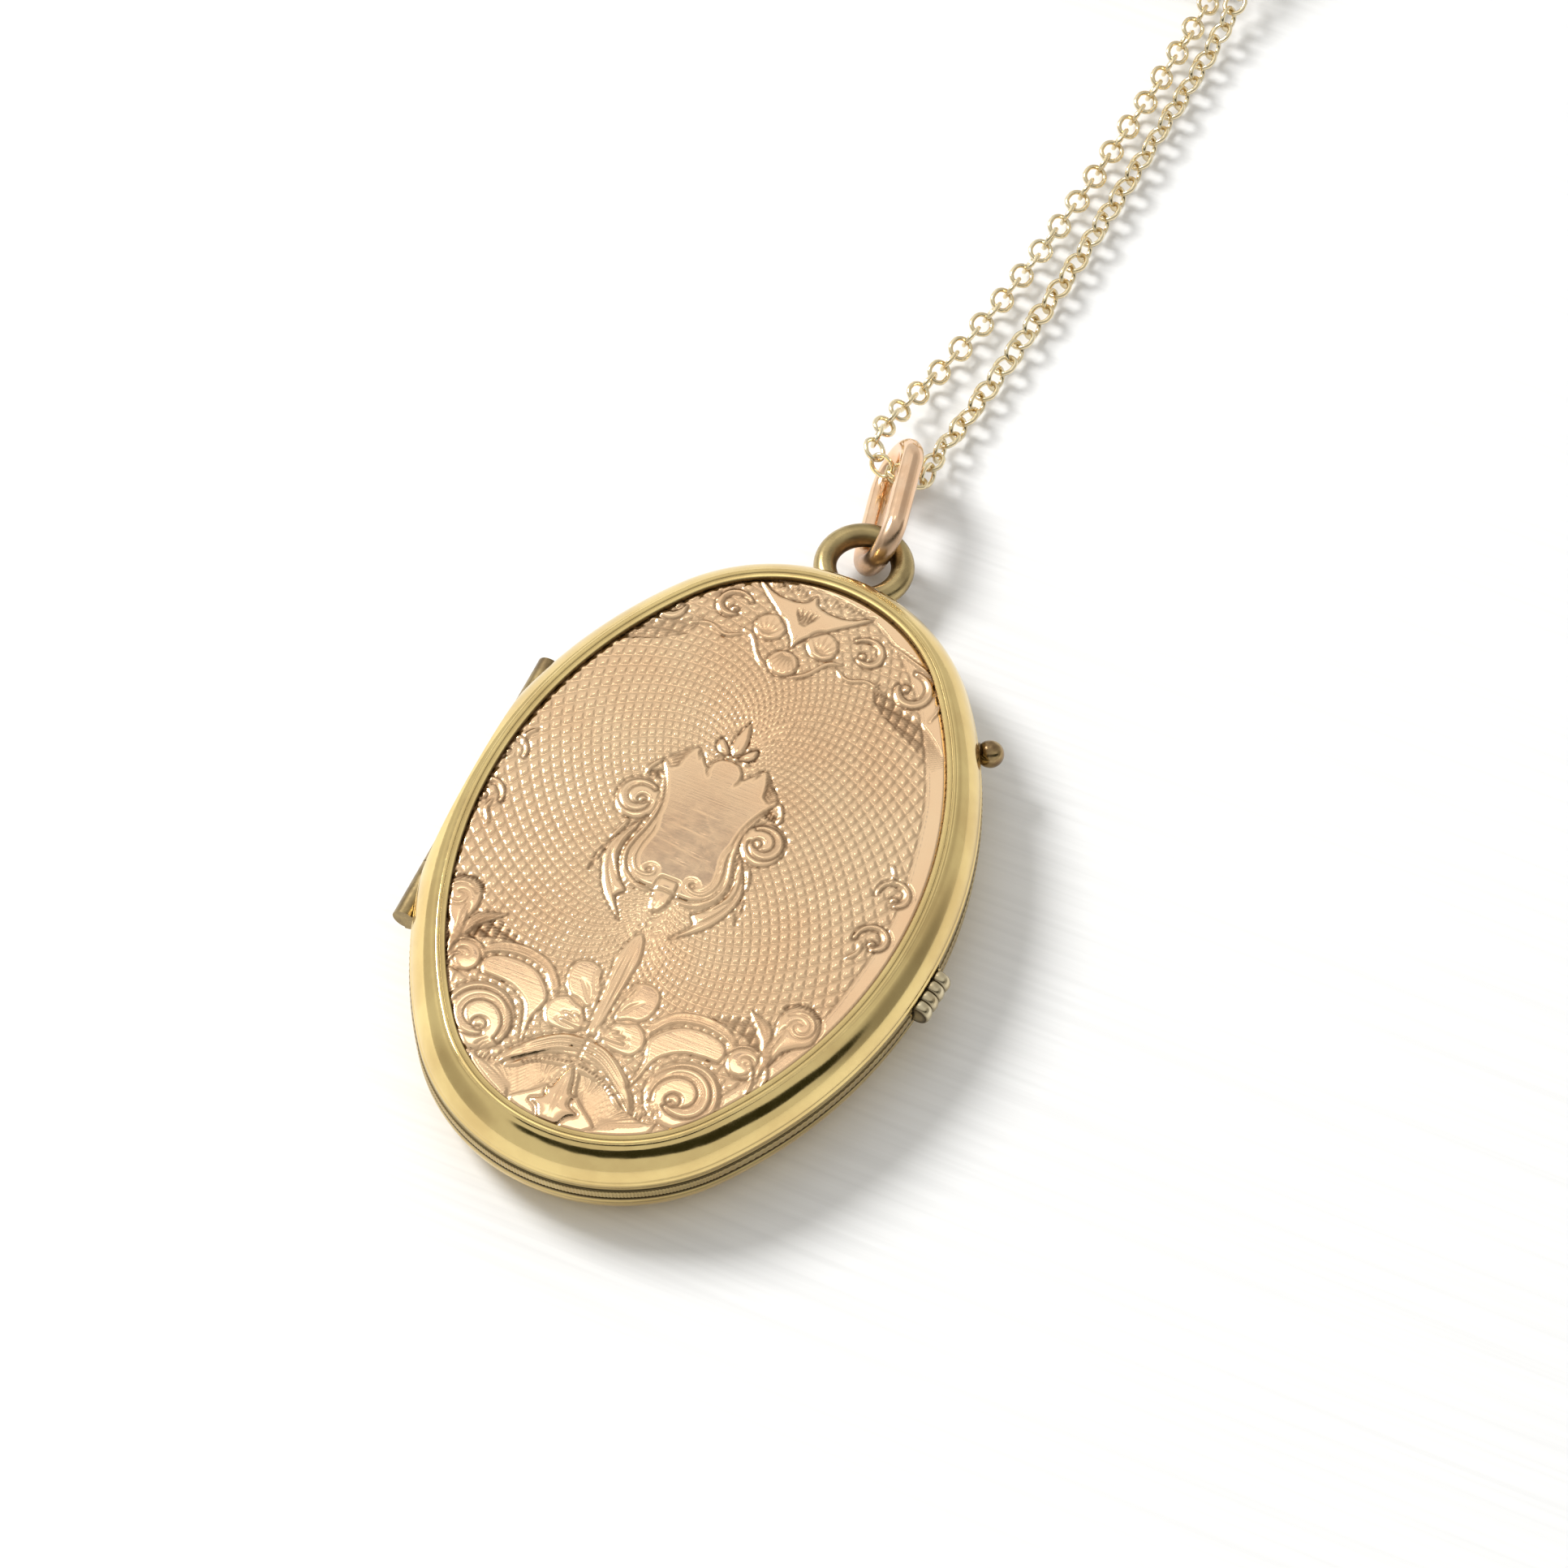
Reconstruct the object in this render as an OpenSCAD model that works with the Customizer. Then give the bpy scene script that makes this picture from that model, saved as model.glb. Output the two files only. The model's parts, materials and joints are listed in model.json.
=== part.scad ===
// Oval photograph locket: a back case, a page-like inner leaf and a front cover on one hinge pin,
// with a bow, a bail link and a fine cable chain that closes with a spring-ring clasp.
// Frame: the back lies on z = 0, +Z comes out of the front cover, +Y runs up to the bow,
// and the hinge is on the -X side.  All sizes are in millimetres.

/* [Plates] */
// Height of the oval plate set into the front cover
plate_h = 32; // [28:0.5:38]
// Width of the oval plate
plate_w = 21; // [19:0.5:25]
// Radius of the two end arcs of the oval
end_r = 7.75; // [7:0.05:8.5]
// Thickness of the front and back plates
plate_t = 0.43; // [0.3:0.01:0.5]
// How far the front plate lies below its lip
plate_recess = 0.07; // [0:0.01:0.15]

/* [Rims] */
// Height of the front rim above its seam
front_h = 2.05; // [1.9:0.05:3.5]
// Height of the back rim below its seam
back_h = 2.2; // [1.9:0.05:3.5]
// How far the rim flares out past the plate at the seam
rim_flare = 1.69; // [1.5:0.01:2.2]
// Width of the flat lip round the plate
lip_w = 0.45; // [0.3:0.01:0.6]
// Height of the upright band next to the seam
band_h = 0.3; // [0.2:0.05:0.5]
// How far the rim swells out of a straight cone
rim_swell = 0.26; // [0.1:0.02:0.4]
// Thickness of the ledge under each plate
ledge_t = 0.25; // [0.2:0.01:0.35]
// Width of the ledge under each plate
ledge_w = 0.5; // [0.3:0.05:0.8]

/* [Photographs] */
// Thickness of a photograph's card
photo_t = 0.15; // [0.1:0.01:0.2]
// Thickness of a clear window
window_t = 0.13; // [0.1:0.01:0.2]
// Thickness of the bezel that holds a window in a cover
bezel_t = 0.22; // [0.15:0.01:0.3]
// Width of every bezel's visible ring
bezel_w = 1.1; // [0.8:0.05:1.6]
// Slack round a card or a window in its seat
card_slack = 0.05; // [0.02:0.01:0.1]

/* [Leaf] */
// Thickness of the leaf's flange between the rims
leaf_t = 0.54; // [0.45:0.01:0.8]
// How far the milled edge stands out past the rims
leaf_proud = 0.05; // [0:0.01:0.1]
// Height of each leaf bezel above the flange
leaf_bezel_h = 0.7; // [0.5:0.02:0.75]
// Thickness of the plate that divides the two photographs
divider_t = 0.2; // [0.15:0.01:0.24]
// Gap between the back rim and the leaf
gap_back = 0.06; // [0.04:0.01:0.15]
// Gap between the leaf and the front rim
gap_front = 0.12; // [0.06:0.01:0.25]
// Running clearance between a leaf bezel and a rim's wall
wall_gap = 0.12; // [0.08:0.01:0.2]

/* [Hinge] */
// Distance of the pin from the case's long centre line, past half the plate's width
hinge_out = 0.8; // [0.8:0.05:1.1]
// Length of the whole hinge barrel
hinge_len = 15.6; // [12:0.1:18]
// Outer radius of the knuckles
knuckle_r = 0.6; // [0.5:0.01:0.65]
// Radius of the hinge pin
pin_r = 0.3; // [0.2:0.01:0.35]
// Running clearance of the pin in the knuckles that turn
pin_gap = 0.03; // [0.02:0.01:0.05]
// Gap between one knuckle and the next
knuckle_gap = 0.06; // [0.04:0.01:0.1]
// Room that the rims leave round the knuckles
knuckle_room = 0.1; // [0.06:0.01:0.12]

/* [Finger pieces] */
// Radius of the ribbed barrel opposite the hinge
thumb_r = 0.62; // [0.5:0.01:0.7]
// Length of the ribbed barrel
thumb_len = 2.4; // [2:0.1:3]
// How far the barrel lies below the middle of the case
thumb_y = 1.5; // [1:0.1:2]
// Room that the notches leave round the finger pieces
notch_gap = 0.14; // [0.1:0.01:0.25]
// Radius of the ball on the leaf's pin
ball_r = 0.66; // [0.5:0.01:0.8]
// Radius of the turned collar behind the ball
collar_r = 0.52; // [0.4:0.01:0.6]
// Distance from the leaf's edge to the middle of the ball
ball_out = 0.53; // [0.5:0.01:1]
// Place of the ball's pin on the rim, as the rim's outward direction there, up from the +X axis
ball_at = 30.3; // [20:0.1:40]
// Direction of the ball's pin, up from the +X axis
ball_turn = 21; // [15:1:30]

/* [Bow and bail link] */
// Radius of the bow at the middle of its wire
bow_mean_r = 1.87; // [1.7:0.01:2.2]
// Radius of the bow's wire
bow_wire_r = 0.58; // [0.45:0.01:0.6]
// Distance of the bow's centre past the rim
bow_out = 2.1; // [2:0.05:2.3]
// How far the bow was soldered off the centre line
bow_shift = -0.4; // [-0.5:0.05:0.5]
// Height of the bow's centre above the table
bow_z = 1.7; // [1.5:0.05:1.75]
// Length of the bail link at the middle of its wire
link_len = 6.5; // [6:0.1:7]
// Width of the bail link at the middle of its wire
link_w = 3.1; // [2.9:0.05:3.4]
// Radius of the bail link's wire
link_wire_r = 0.58; // [0.45:0.01:0.6]
// Slack between the bow's wire and the bail link's end
link_slack = 0.3; // [0.25:0.01:0.4]
// How far the bail link sits off the bow's wire, across its own width
link_lift = 0.15; // [0.1:0.05:0.2]
// Lean of the bail link out of the upright
link_lean = 26; // [20:1:32]
// Turn of the bail link away from the case's centre line
link_yaw = 12; // [5:1:15]

/* [Chain and clasp] */
// Outer diameter of the cable chain
chain_d = 1.28; // [1:0.02:1.4]
// Radius of the coil at the middle of its turns
coil_r = 7.5; // [7:0.1:8.5]
// Radius of the clasp's ring at the middle of its tube
clasp_r = 2.2; // [2:0.1:2.4]
// Radius of the clasp's tube
clasp_tube_r = 0.5; // [0.45:0.01:0.6]
// Radius of the bolt that slides in the tube
bolt_r = 0.3; // [0.25:0.01:0.32]
// Running clearance of the bolt in its tube
bolt_gap = 0.04; // [0.03:0.01:0.08]
// Angle of the clasp's mouth
mouth_a = 50; // [40:1:55]
// Radius of a jump ring at the middle of its wire
jump_r = 0.92; // [0.85:0.01:1.1]
// Radius of a jump ring's wire
jump_wire_r = 0.18; // [0.14:0.01:0.2]

/* [Hidden] */
$fn = 72;

// Four-arc oval: end arcs of end_r at +-end_c and side arcs of side_r centred across the long axis
half_h = plate_h / 2;
half_w = plate_w / 2;
end_c = half_h - end_r;
side_c = (end_c * end_c - pow(half_w - end_r, 2)) / (2 * (half_w - end_r));
side_r = half_w + side_c;
join_a = atan2(end_c, side_c);
wide = 4 * plate_h;

// Levels
leaf_z = back_h + gap_back + leaf_t / 2;
front_seam_z = leaf_z + leaf_t / 2 + gap_front;
front_top_z = front_seam_z + front_h;
shoulder_gap = 0.08;
leaf_top = leaf_t / 2 + leaf_bezel_h;
front_shoulder = leaf_top - (front_seam_z - leaf_z) + shoulder_gap;
back_shoulder = leaf_top - (leaf_z - back_h) + shoulder_gap;
leaf_wall_d = 0.8;
rim_wall_d = leaf_wall_d + wall_gap;
bezel_d = 0.2;
edge_gap = 0.12;

// Hinge
hinge_x = half_w + hinge_out;
relief_r = knuckle_r + knuckle_room;
hinge_flat = 0.1;
pitch = (hinge_len + knuckle_gap) / 5;
knuckle_len = pitch - knuckle_gap;

// Finger pieces
thumb_x = sqrt(pow(side_r + rim_flare, 2) - thumb_y * thumb_y) - side_c + 0.12;
thumb_turn = -asin(thumb_y / (side_r + rim_flare));
thumb_z = leaf_z;

// Bow and bail link
bow_y = half_h + rim_flare + bow_out;
link_reach = bow_wire_r + link_slack + link_wire_r;
link_side = (link_len - link_w) / 2;

// Chain route, by hand, from the middle of the bail link's opening to the coil
p_link = [-1.04, 25.31, 1.97];
route_left = [
    p_link, [-1.57, 25.2, 2.23], [-2.04, 25.25, 2.45], [-2.44, 25.63, 2.6], [-2.67, 26.3, 2.6],
    [-2.75, 27.3, 2.3], [-2.7, 28.6, 1.75], [-2.55, 30, 1.2], [-2.3, 31.6, 0.8], [-1.95, 33.3, 0.65],
    [-1.5, 35.5, 0.65], [-1.1, 37.7, 0.65], [-0.75, 40, 0.65], [-0.4, 42.6, 0.65],
    [-0.1, 45.2, 0.65], [0.15, 47.8, 0.65], [0.35, 50.4, 0.65], [0.6, 53, 0.65], [0.75, 55.6, 0.65],
    [0.9, 58.2, 0.65], [1, 60.8, 0.65], [1.1, 63.4, 0.65], [1.2, 66, 0.65], [1.2, 68.2, 0.65],
];
route_right = [
    p_link, [-0.51, 25.42, 1.71], [-0.1, 25.66, 1.49], [0.11, 26.17, 1.33], [0, 26.96, 1.25],
    [-0.05, 27.9, 1.05], [0.05, 29.1, 0.8], [0.25, 30.6, 0.65], [0.5, 32.8, 0.65], [0.75, 35, 0.65],
    [0.95, 37.2, 0.65], [1.2, 39.6, 0.65], [1.4, 42, 0.65], [1.55, 44.4, 0.65], [1.7, 46.9, 0.65],
    [1.85, 49.4, 0.65], [2, 52, 0.65], [2.15, 54.6, 0.65], [2.3, 57.2, 0.75], [2.4, 59.6, 1.15],
    [2.3, 61.8, 1.8], [2, 64, 2.6], [1.5, 66.3, 3.25], [1.2, 68.2, 3.45],
];
coil_x = -7;
coil_y = 70;
coil_half_w = 1.45;
coil_h = 2.75;
// Chain tails, by hand, from the coil's inner turns to the clasp
clasp_z = 1.15;
tail_left = [
    [-3.3, 74.9, 0.65], [-4.1, 75.4, 0.8], [-5.1, 75.6, 1], [-6, 75.3, 1.1], [-6.7, 74.9, 1.15],
];
tail_right = [
    [-10.7, 65.1, 3.4], [-9.9, 64.5, 2.7], [-8.9, 64.3, 1.9], [-8, 64.6, 1.35], [-7.4, 65.2, 1.15],
    [-7.15, 66.1, 1.15],
];
mouth_start = 10;
bolt_catch = 8;
bolt_tail = 30;
bolt_travel = mouth_a + bolt_catch + 2;

// ---------------------------------------------------------------- shapes

// Flat oval, moved out from the plate's edge by d
module oval(d = 0) {
    intersection() {
        translate([-side_c, 0]) circle(side_r + d);
        translate([side_c, 0]) circle(side_r + d);
        square([wide, 2 * (side_r + d) * sin(join_a)], center = true);
    }
    translate([0, end_c]) circle(end_r + d);
    translate([0, -end_c]) circle(end_r + d);
}

// Sweeps a section, drawn as (offset from the plate's edge, height), round the oval.  Full turns
// are cut to their arcs by wedges that share their cutting planes, so that the arcs join cleanly.
module around() {
    reach = 1.5 * plate_h;
    rise = end_c + reach * end_c / side_c;
    for (s = [0, 1]) intersection() {
        mirror([0, s, 0]) linear_extrude(reach, center = true)
            polygon([[0, end_c], [reach, rise], [-reach, rise]]);
        translate([0, s == 0 ? end_c : -end_c, 0]) rotate_extrude() translate([end_r, 0]) children();
    }
    for (s = [0, 1]) intersection() {
        mirror([s, 0, 0]) linear_extrude(reach, center = true)
            polygon([[0, end_c], [reach, rise], [reach, -rise], [0, -end_c]]);
        translate([s == 0 ? -side_c : side_c, 0, 0]) rotate_extrude() translate([side_r, 0])
            children();
    }
}

// Height h above the seam and offset d of the rim's outer face, as a swollen cone
function swell(k) = 4 * k * (1 - k) * rim_swell;
function rim_outer(h, steps = 7) = let (run = rim_flare - lip_w, rise = h - band_h,
    slant = sqrt(run * run + rise * rise))
    [for (i = [0:steps]) let (k = i / steps)
        [rim_flare - run * k + swell(k) * rise / slant, band_h + rise * k + swell(k) * run / slant]];

module rim_section(h, recess, shoulder) {
    seat = h - recess - plate_t;
    polygon(concat(
        [[rim_wall_d, 0], [rim_flare, 0]],
        rim_outer(h),
        [[0, h], [0, seat], [-ledge_w, seat], [-ledge_w, seat - ledge_t], [bezel_d, seat - ledge_t],
         [bezel_d, shoulder], [rim_wall_d, shoulder]]));
}

// The rim's outer form filled in, which pieces soldered to the rim are cut to
module rim_fill(h) {
    around() polygon(concat([[-2, 0], [rim_flare, 0]], rim_outer(h), [[-2, h]]));
}

module at_hinge() {
    translate([-hinge_x, 0, leaf_z]) rotate([-90, 0, 0]) children();
}

module hinge_relief() {
    cut_len = hinge_len + 2 * edge_gap;
    at_hinge() cylinder(r = relief_r, h = cut_len, center = true);
    translate([-hinge_x - hinge_flat - half_w, -cut_len / 2, -1])
        cube([half_w, cut_len, front_top_z + 2]);
}

module at_thumb() {
    translate([thumb_x, -thumb_y, thumb_z]) rotate([0, 0, thumb_turn]) rotate([-90, 0, 0]) children();
}

module thumb_notch() {
    at_thumb() cylinder(r = thumb_r + notch_gap, h = thumb_len + 2 * notch_gap, center = true);
}

// Point of the outline, moved out by d, where its outward direction is a
function outline_at(a, d) = a < join_a
    ? [(side_r + d) * cos(a) - side_c, (side_r + d) * sin(a), 0]
    : [(end_r + d) * cos(a), end_c + (end_r + d) * sin(a), 0];

module at_ball() {
    translate([0, 0, leaf_z]) translate(outline_at(ball_at, rim_flare))
        rotate([0, 0, ball_turn]) rotate([0, 90, 0]) children();
}

module ball_notch() {
    at_ball() translate([0, 0, -0.55]) cylinder(r = collar_r + notch_gap, h = 3);
}

// A knuckle between y0 and y0 + knuckle_len, with a bearer between heights z0 and z1 of the axis
module knuckle(index, bore_r, z0, z1) {
    y0 = -hinge_len / 2 + index * pitch;
    difference() {
        union() {
            at_hinge() translate([0, 0, y0]) cylinder(r = knuckle_r, h = knuckle_len);
            intersection() {
                at_hinge() translate([0, 0, y0]) cylinder(r = relief_r, h = knuckle_len);
                translate([-hinge_x, -hinge_len, leaf_z + z0])
                    cube([2 * relief_r, 2 * hinge_len, z1 - z0]);
            }
        }
        at_hinge() translate([0, 0, y0 - 1]) cylinder(r = bore_r, h = knuckle_len + 2);
    }
}

module oval_slab(d, z0, z1) {
    translate([0, 0, z0]) linear_extrude(z1 - z0) oval(d);
}

// Section of a bezel in a cover, with the ledge's underside at height 0 above it
module cover_bezel_section() {
    lip = 0.03;
    foot = -bezel_t - lip;
    polygon([[bezel_d, 0], [bezel_d, foot], [0.2 - bezel_w, foot], [-bezel_w, foot + 0.1],
        [-bezel_w, -lip], [-ledge_w, -lip], [-ledge_w, 0]]);
}

// Eight-sided tube swept along a route
function unit(v) = v / norm(v);
function way(p, i) = unit(p[min(i + 1, len(p) - 1)] - p[max(i - 1, 0)]);
function ring(p, i, r) = let (t = way(p, i), side = unit(cross([0, 0, 1], t)), up = cross(t, side))
    [for (k = [0:7]) p[i] + r * (cos(45 * k) * side + sin(45 * k) * up)];
module tube(p, r) {
    n = len(p);
    sides = [for (i = [0:n - 2], k = [0:7]) let (a = 8 * i + k, b = 8 * i + (k + 1) % 8)
        each [[a, a + 8, b + 8], [a, b + 8, b]]];
    polyhedron(
        points = [for (i = [0:n - 1]) each ring(p, i, r)],
        faces = concat([[for (k = [0:7]) k]], sides, [[for (k = [7:-1:0]) 8 * (n - 1) + k]]));
}

module coil(z0) {
    translate([coil_x, coil_y, z0]) difference() {
        cylinder(r = coil_r + coil_half_w, h = coil_h);
        translate([0, 0, -1]) cylinder(r = coil_r - coil_half_w, h = coil_h + 2);
    }
}

module jump_ring() {
    rotate_extrude() translate([jump_r, 0]) circle(r = jump_wire_r, $fn = 32);
}

// ---------------------------------------------------------------- back case

module back_rim() color("#c9b45c") difference() {
    translate([0, 0, back_h]) mirror([0, 0, 1])
        around() rim_section(back_h, 0, back_shoulder);
    hinge_relief();
    ball_notch();
}

module back_plate() color("#d9a67e") oval_slab(0, 0, plate_t);

module back_photo() color("#cfc3a8")
    oval_slab(-ledge_w - card_slack, plate_t, plate_t + photo_t);

module back_window() color("#dfe8ea")
    oval_slab(-ledge_w - card_slack, plate_t + photo_t, plate_t + photo_t + window_t);

module back_bezel() color("#c9b45c") translate([0, 0, plate_t + ledge_t]) mirror([0, 0, 1])
    around() cover_bezel_section();

module hinge_pin() color("#8d7f45") at_hinge() cylinder(r = pin_r, h = hinge_len, center = true);

module knuckle_back_upper() color("#a3924f") knuckle(4, pin_r, back_h - leaf_z - 2, back_h - leaf_z);

module knuckle_back_lower() color("#a3924f") knuckle(0, pin_r, back_h - leaf_z - 2, back_h - leaf_z);

module thumb_piece() color("#cfc58f") difference() {
    ribs = 4;
    rib_pitch = thumb_len / ribs;
    union() {
        at_thumb() cylinder(r = thumb_r - 0.1, h = thumb_len, center = true);
        at_thumb() for (i = [0:ribs - 1]) translate([0, 0, (i - (ribs - 1) / 2) * rib_pitch])
            rotate_extrude() translate([thumb_r - rib_pitch / 2 + 0.06, 0])
                circle(r = rib_pitch / 2 - 0.06, $fn = 32);
    }
    translate([0, 0, back_h]) mirror([0, 0, 1]) rim_fill(back_h);
}

module bow() color("#a9985a") difference() {
    translate([bow_shift, bow_y, bow_z])
        rotate_extrude() translate([bow_mean_r, 0]) circle(r = bow_wire_r, $fn = 48);
    translate([0, 0, back_h]) mirror([0, 0, 1]) rim_fill(back_h);
}

// ---------------------------------------------------------------- leaf

module leaf_flange() {
    difference() {
        oval_slab(rim_flare + leaf_proud, leaf_z - leaf_t / 2, leaf_z + leaf_t / 2);
        oval_slab(0, 0, front_top_z);
    }
}

module leaf_frame() color("#cdb866") difference() {
    leaf_flange();
    hinge_relief();
    thumb_notch();
}

module leaf_divider() color("#cdb866")
    oval_slab(0, leaf_z - divider_t / 2, leaf_z + divider_t / 2);

module leaf_photo_front() color("#cfc3a8")
    oval_slab(-card_slack, leaf_z + divider_t / 2, leaf_z + divider_t / 2 + photo_t);

module leaf_photo_back() color("#cfc3a8")
    oval_slab(-card_slack, leaf_z - divider_t / 2 - photo_t, leaf_z - divider_t / 2);

module leaf_window_front() color("#dfe8ea")
    oval_slab(-card_slack, leaf_z + divider_t / 2 + photo_t,
        leaf_z + divider_t / 2 + photo_t + window_t);

module leaf_window_back() color("#dfe8ea")
    oval_slab(-card_slack, leaf_z - divider_t / 2 - photo_t - window_t,
        leaf_z - divider_t / 2 - photo_t);

// A leaf bezel stands on the flange and slopes in over the window
module leaf_bezel() {
    foot = leaf_t / 2;
    over = divider_t / 2 + photo_t + window_t;
    inner = bezel_d - bezel_w;
    difference() {
        translate([0, 0, leaf_z]) around() polygon([[0, foot], [leaf_wall_d, foot],
            [leaf_wall_d, leaf_top - 0.1], [leaf_wall_d - 0.1, leaf_top], [bezel_d, leaf_top],
            [inner, over + 0.12], [inner, over], [0, over]]);
        hinge_relief();
    }
}

module leaf_bezel_front() color("#c9b45c") leaf_bezel();

module leaf_bezel_back() color("#c9b45c")
    translate([0, 0, 2 * leaf_z]) mirror([0, 0, 1]) leaf_bezel();

module leaf_knuckle() color("#a3924f")
    knuckle(2, pin_r + pin_gap, -leaf_t / 2, leaf_t / 2);

module leaf_ball_pin() color("#8d7440") difference() {
    at_ball() union() {
        translate([0, 0, -0.3]) cylinder(r = collar_r, h = 0.42);
        translate([0, 0, 0.05]) cylinder(r = collar_r - 0.1, h = ball_out - 0.05);
        translate([0, 0, leaf_proud + ball_out]) sphere(r = ball_r);
    }
    leaf_flange();
}

// ---------------------------------------------------------------- front cover

module front_rim() color("#c9b45c") difference() {
    translate([0, 0, front_seam_z]) around() rim_section(front_h, plate_recess, front_shoulder);
    hinge_relief();
    thumb_notch();
    ball_notch();
}

module front_plate() color("#e0a985")
    oval_slab(0, front_top_z - plate_recess - plate_t, front_top_z - plate_recess);

module front_photo() color("#cfc3a8")
    oval_slab(-ledge_w - card_slack, front_top_z - plate_recess - plate_t - photo_t,
        front_top_z - plate_recess - plate_t);

module front_window() color("#dfe8ea")
    oval_slab(-ledge_w - card_slack, front_top_z - plate_recess - plate_t - photo_t - window_t,
        front_top_z - plate_recess - plate_t - photo_t);

module front_bezel() color("#c9b45c")
    translate([0, 0, front_top_z - plate_recess - plate_t - ledge_t])
        around() cover_bezel_section();

module knuckle_front_upper() color("#a3924f")
    knuckle(3, pin_r + pin_gap, front_seam_z - leaf_z, front_seam_z - leaf_z + 2);

module knuckle_front_lower() color("#a3924f")
    knuckle(1, pin_r + pin_gap, front_seam_z - leaf_z, front_seam_z - leaf_z + 2);

// ---------------------------------------------------------------- bail link

module bail_link() color("#c98f6b")
    translate([bow_shift, bow_y + bow_mean_r, bow_z]) rotate([0, 0, link_yaw])
        rotate([0, link_lean, 0]) translate([0, link_w / 2 - link_reach, link_lift])
            rotate([90, 0, 90]) union() {
                for (s = [0, 1]) translate([s * 2 * link_side, 0, 0]) rotate([0, 0, s ? -90 : 90])
                    rotate_extrude(angle = 180) translate([link_w / 2, 0])
                        circle(r = link_wire_r, $fn = 48);
                for (s = [1, -1]) translate([0, s * link_w / 2, 0]) rotate([0, 90, 0])
                    cylinder(r = link_wire_r, h = 2 * link_side, $fn = 48);
            }

// ---------------------------------------------------------------- chain and clasp

module chain_left() color("#e2cf94") tube(route_left, chain_d / 2);

module chain_right() color("#e2cf94") tube(route_right, chain_d / 2);

module chain_coil_left() color("#e2cf94") coil(0);

module chain_coil_right() color("#e2cf94") coil(coil_h);

module chain_tail_left() color("#e2cf94") tube(tail_left, chain_d / 2);

module chain_tail_right() color("#e2cf94") tube(tail_right, chain_d / 2);

// The clasp's tube, open over the mouth and slotted for the bolt's nib
module clasp_ring() color("#d8c07a") translate([coil_x, coil_y, clasp_z]) difference() {
    rotate([0, 0, mouth_start + mouth_a]) rotate_extrude(angle = 360 - mouth_a)
        translate([clasp_r, 0]) difference() {
            circle(r = clasp_tube_r, $fn = 48);
            circle(r = bolt_r + bolt_gap, $fn = 48);
        }
    rotate([0, 0, mouth_start - bolt_tail - bolt_travel]) rotate_extrude(angle = bolt_travel + 16)
        translate([clasp_r, -0.2]) square([2, 0.4]);
}

module clasp_eye() color("#d8c07a")
    translate([coil_x, coil_y + clasp_r + clasp_tube_r + jump_r + jump_wire_r - 0.03, clasp_z])
        jump_ring();

module clasp_end_ring() color("#d8c07a")
    translate([coil_x, coil_y - clasp_r - (jump_r - jump_wire_r - clasp_tube_r - 0.04), clasp_z])
        rotate([0, 90, 0]) jump_ring();

module clasp_trigger() color("#cdb36a") translate([coil_x, coil_y, clasp_z]) union() {
    rotate([0, 0, mouth_start - bolt_tail]) rotate_extrude(angle = bolt_tail + mouth_a + bolt_catch)
        translate([clasp_r, 0]) circle(r = bolt_r, $fn = 48);
    rotate([0, 0, mouth_start - bolt_tail + 7]) rotate([0, 90, 0]) translate([0, 0, clasp_r])
        cylinder(r = 0.16, h = 1.1, $fn = 32);
}

back_rim();
back_plate();
back_photo();
back_window();
back_bezel();
hinge_pin();
knuckle_back_upper();
knuckle_back_lower();
thumb_piece();
bow();
leaf_frame();
leaf_divider();
leaf_photo_front();
leaf_photo_back();
leaf_window_front();
leaf_window_back();
leaf_bezel_front();
leaf_bezel_back();
leaf_knuckle();
leaf_ball_pin();
front_rim();
front_plate();
front_photo();
front_window();
front_bezel();
knuckle_front_upper();
knuckle_front_lower();
bail_link();
chain_left();
chain_right();
chain_coil_left();
chain_coil_right();
chain_tail_left();
chain_tail_right();
clasp_ring();
clasp_eye();
clasp_end_ring();
clasp_trigger();
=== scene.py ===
"""Looks of the oval photograph locket: plates, rims, leaf, hinge, bow, bail link, chain and clasp."""

import json
import math

import bmesh
import bpy
import numpy as np
from mathutils import Matrix, Vector

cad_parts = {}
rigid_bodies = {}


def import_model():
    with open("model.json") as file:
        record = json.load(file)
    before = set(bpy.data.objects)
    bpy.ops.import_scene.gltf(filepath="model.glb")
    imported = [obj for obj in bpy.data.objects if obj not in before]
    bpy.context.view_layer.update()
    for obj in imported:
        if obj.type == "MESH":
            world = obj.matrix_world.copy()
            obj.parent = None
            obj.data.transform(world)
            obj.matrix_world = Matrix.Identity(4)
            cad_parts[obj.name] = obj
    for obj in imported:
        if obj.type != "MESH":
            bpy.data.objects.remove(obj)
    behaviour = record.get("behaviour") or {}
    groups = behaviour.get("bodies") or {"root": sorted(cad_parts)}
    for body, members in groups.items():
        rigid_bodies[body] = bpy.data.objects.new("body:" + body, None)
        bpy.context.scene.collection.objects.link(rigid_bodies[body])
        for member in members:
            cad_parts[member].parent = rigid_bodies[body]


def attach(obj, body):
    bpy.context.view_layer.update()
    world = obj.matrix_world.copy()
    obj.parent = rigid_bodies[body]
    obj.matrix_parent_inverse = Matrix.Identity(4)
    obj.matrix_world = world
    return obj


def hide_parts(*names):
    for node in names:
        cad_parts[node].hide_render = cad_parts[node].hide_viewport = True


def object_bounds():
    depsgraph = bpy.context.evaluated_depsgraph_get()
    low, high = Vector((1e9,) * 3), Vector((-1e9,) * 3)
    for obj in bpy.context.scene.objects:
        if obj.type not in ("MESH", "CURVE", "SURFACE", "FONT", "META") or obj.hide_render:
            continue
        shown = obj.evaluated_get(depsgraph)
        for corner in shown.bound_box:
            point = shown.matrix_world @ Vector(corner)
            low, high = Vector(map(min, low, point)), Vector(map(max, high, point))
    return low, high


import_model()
cad_low, cad_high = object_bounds()

MM = 0.001
TURN = 2 * math.pi

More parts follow.
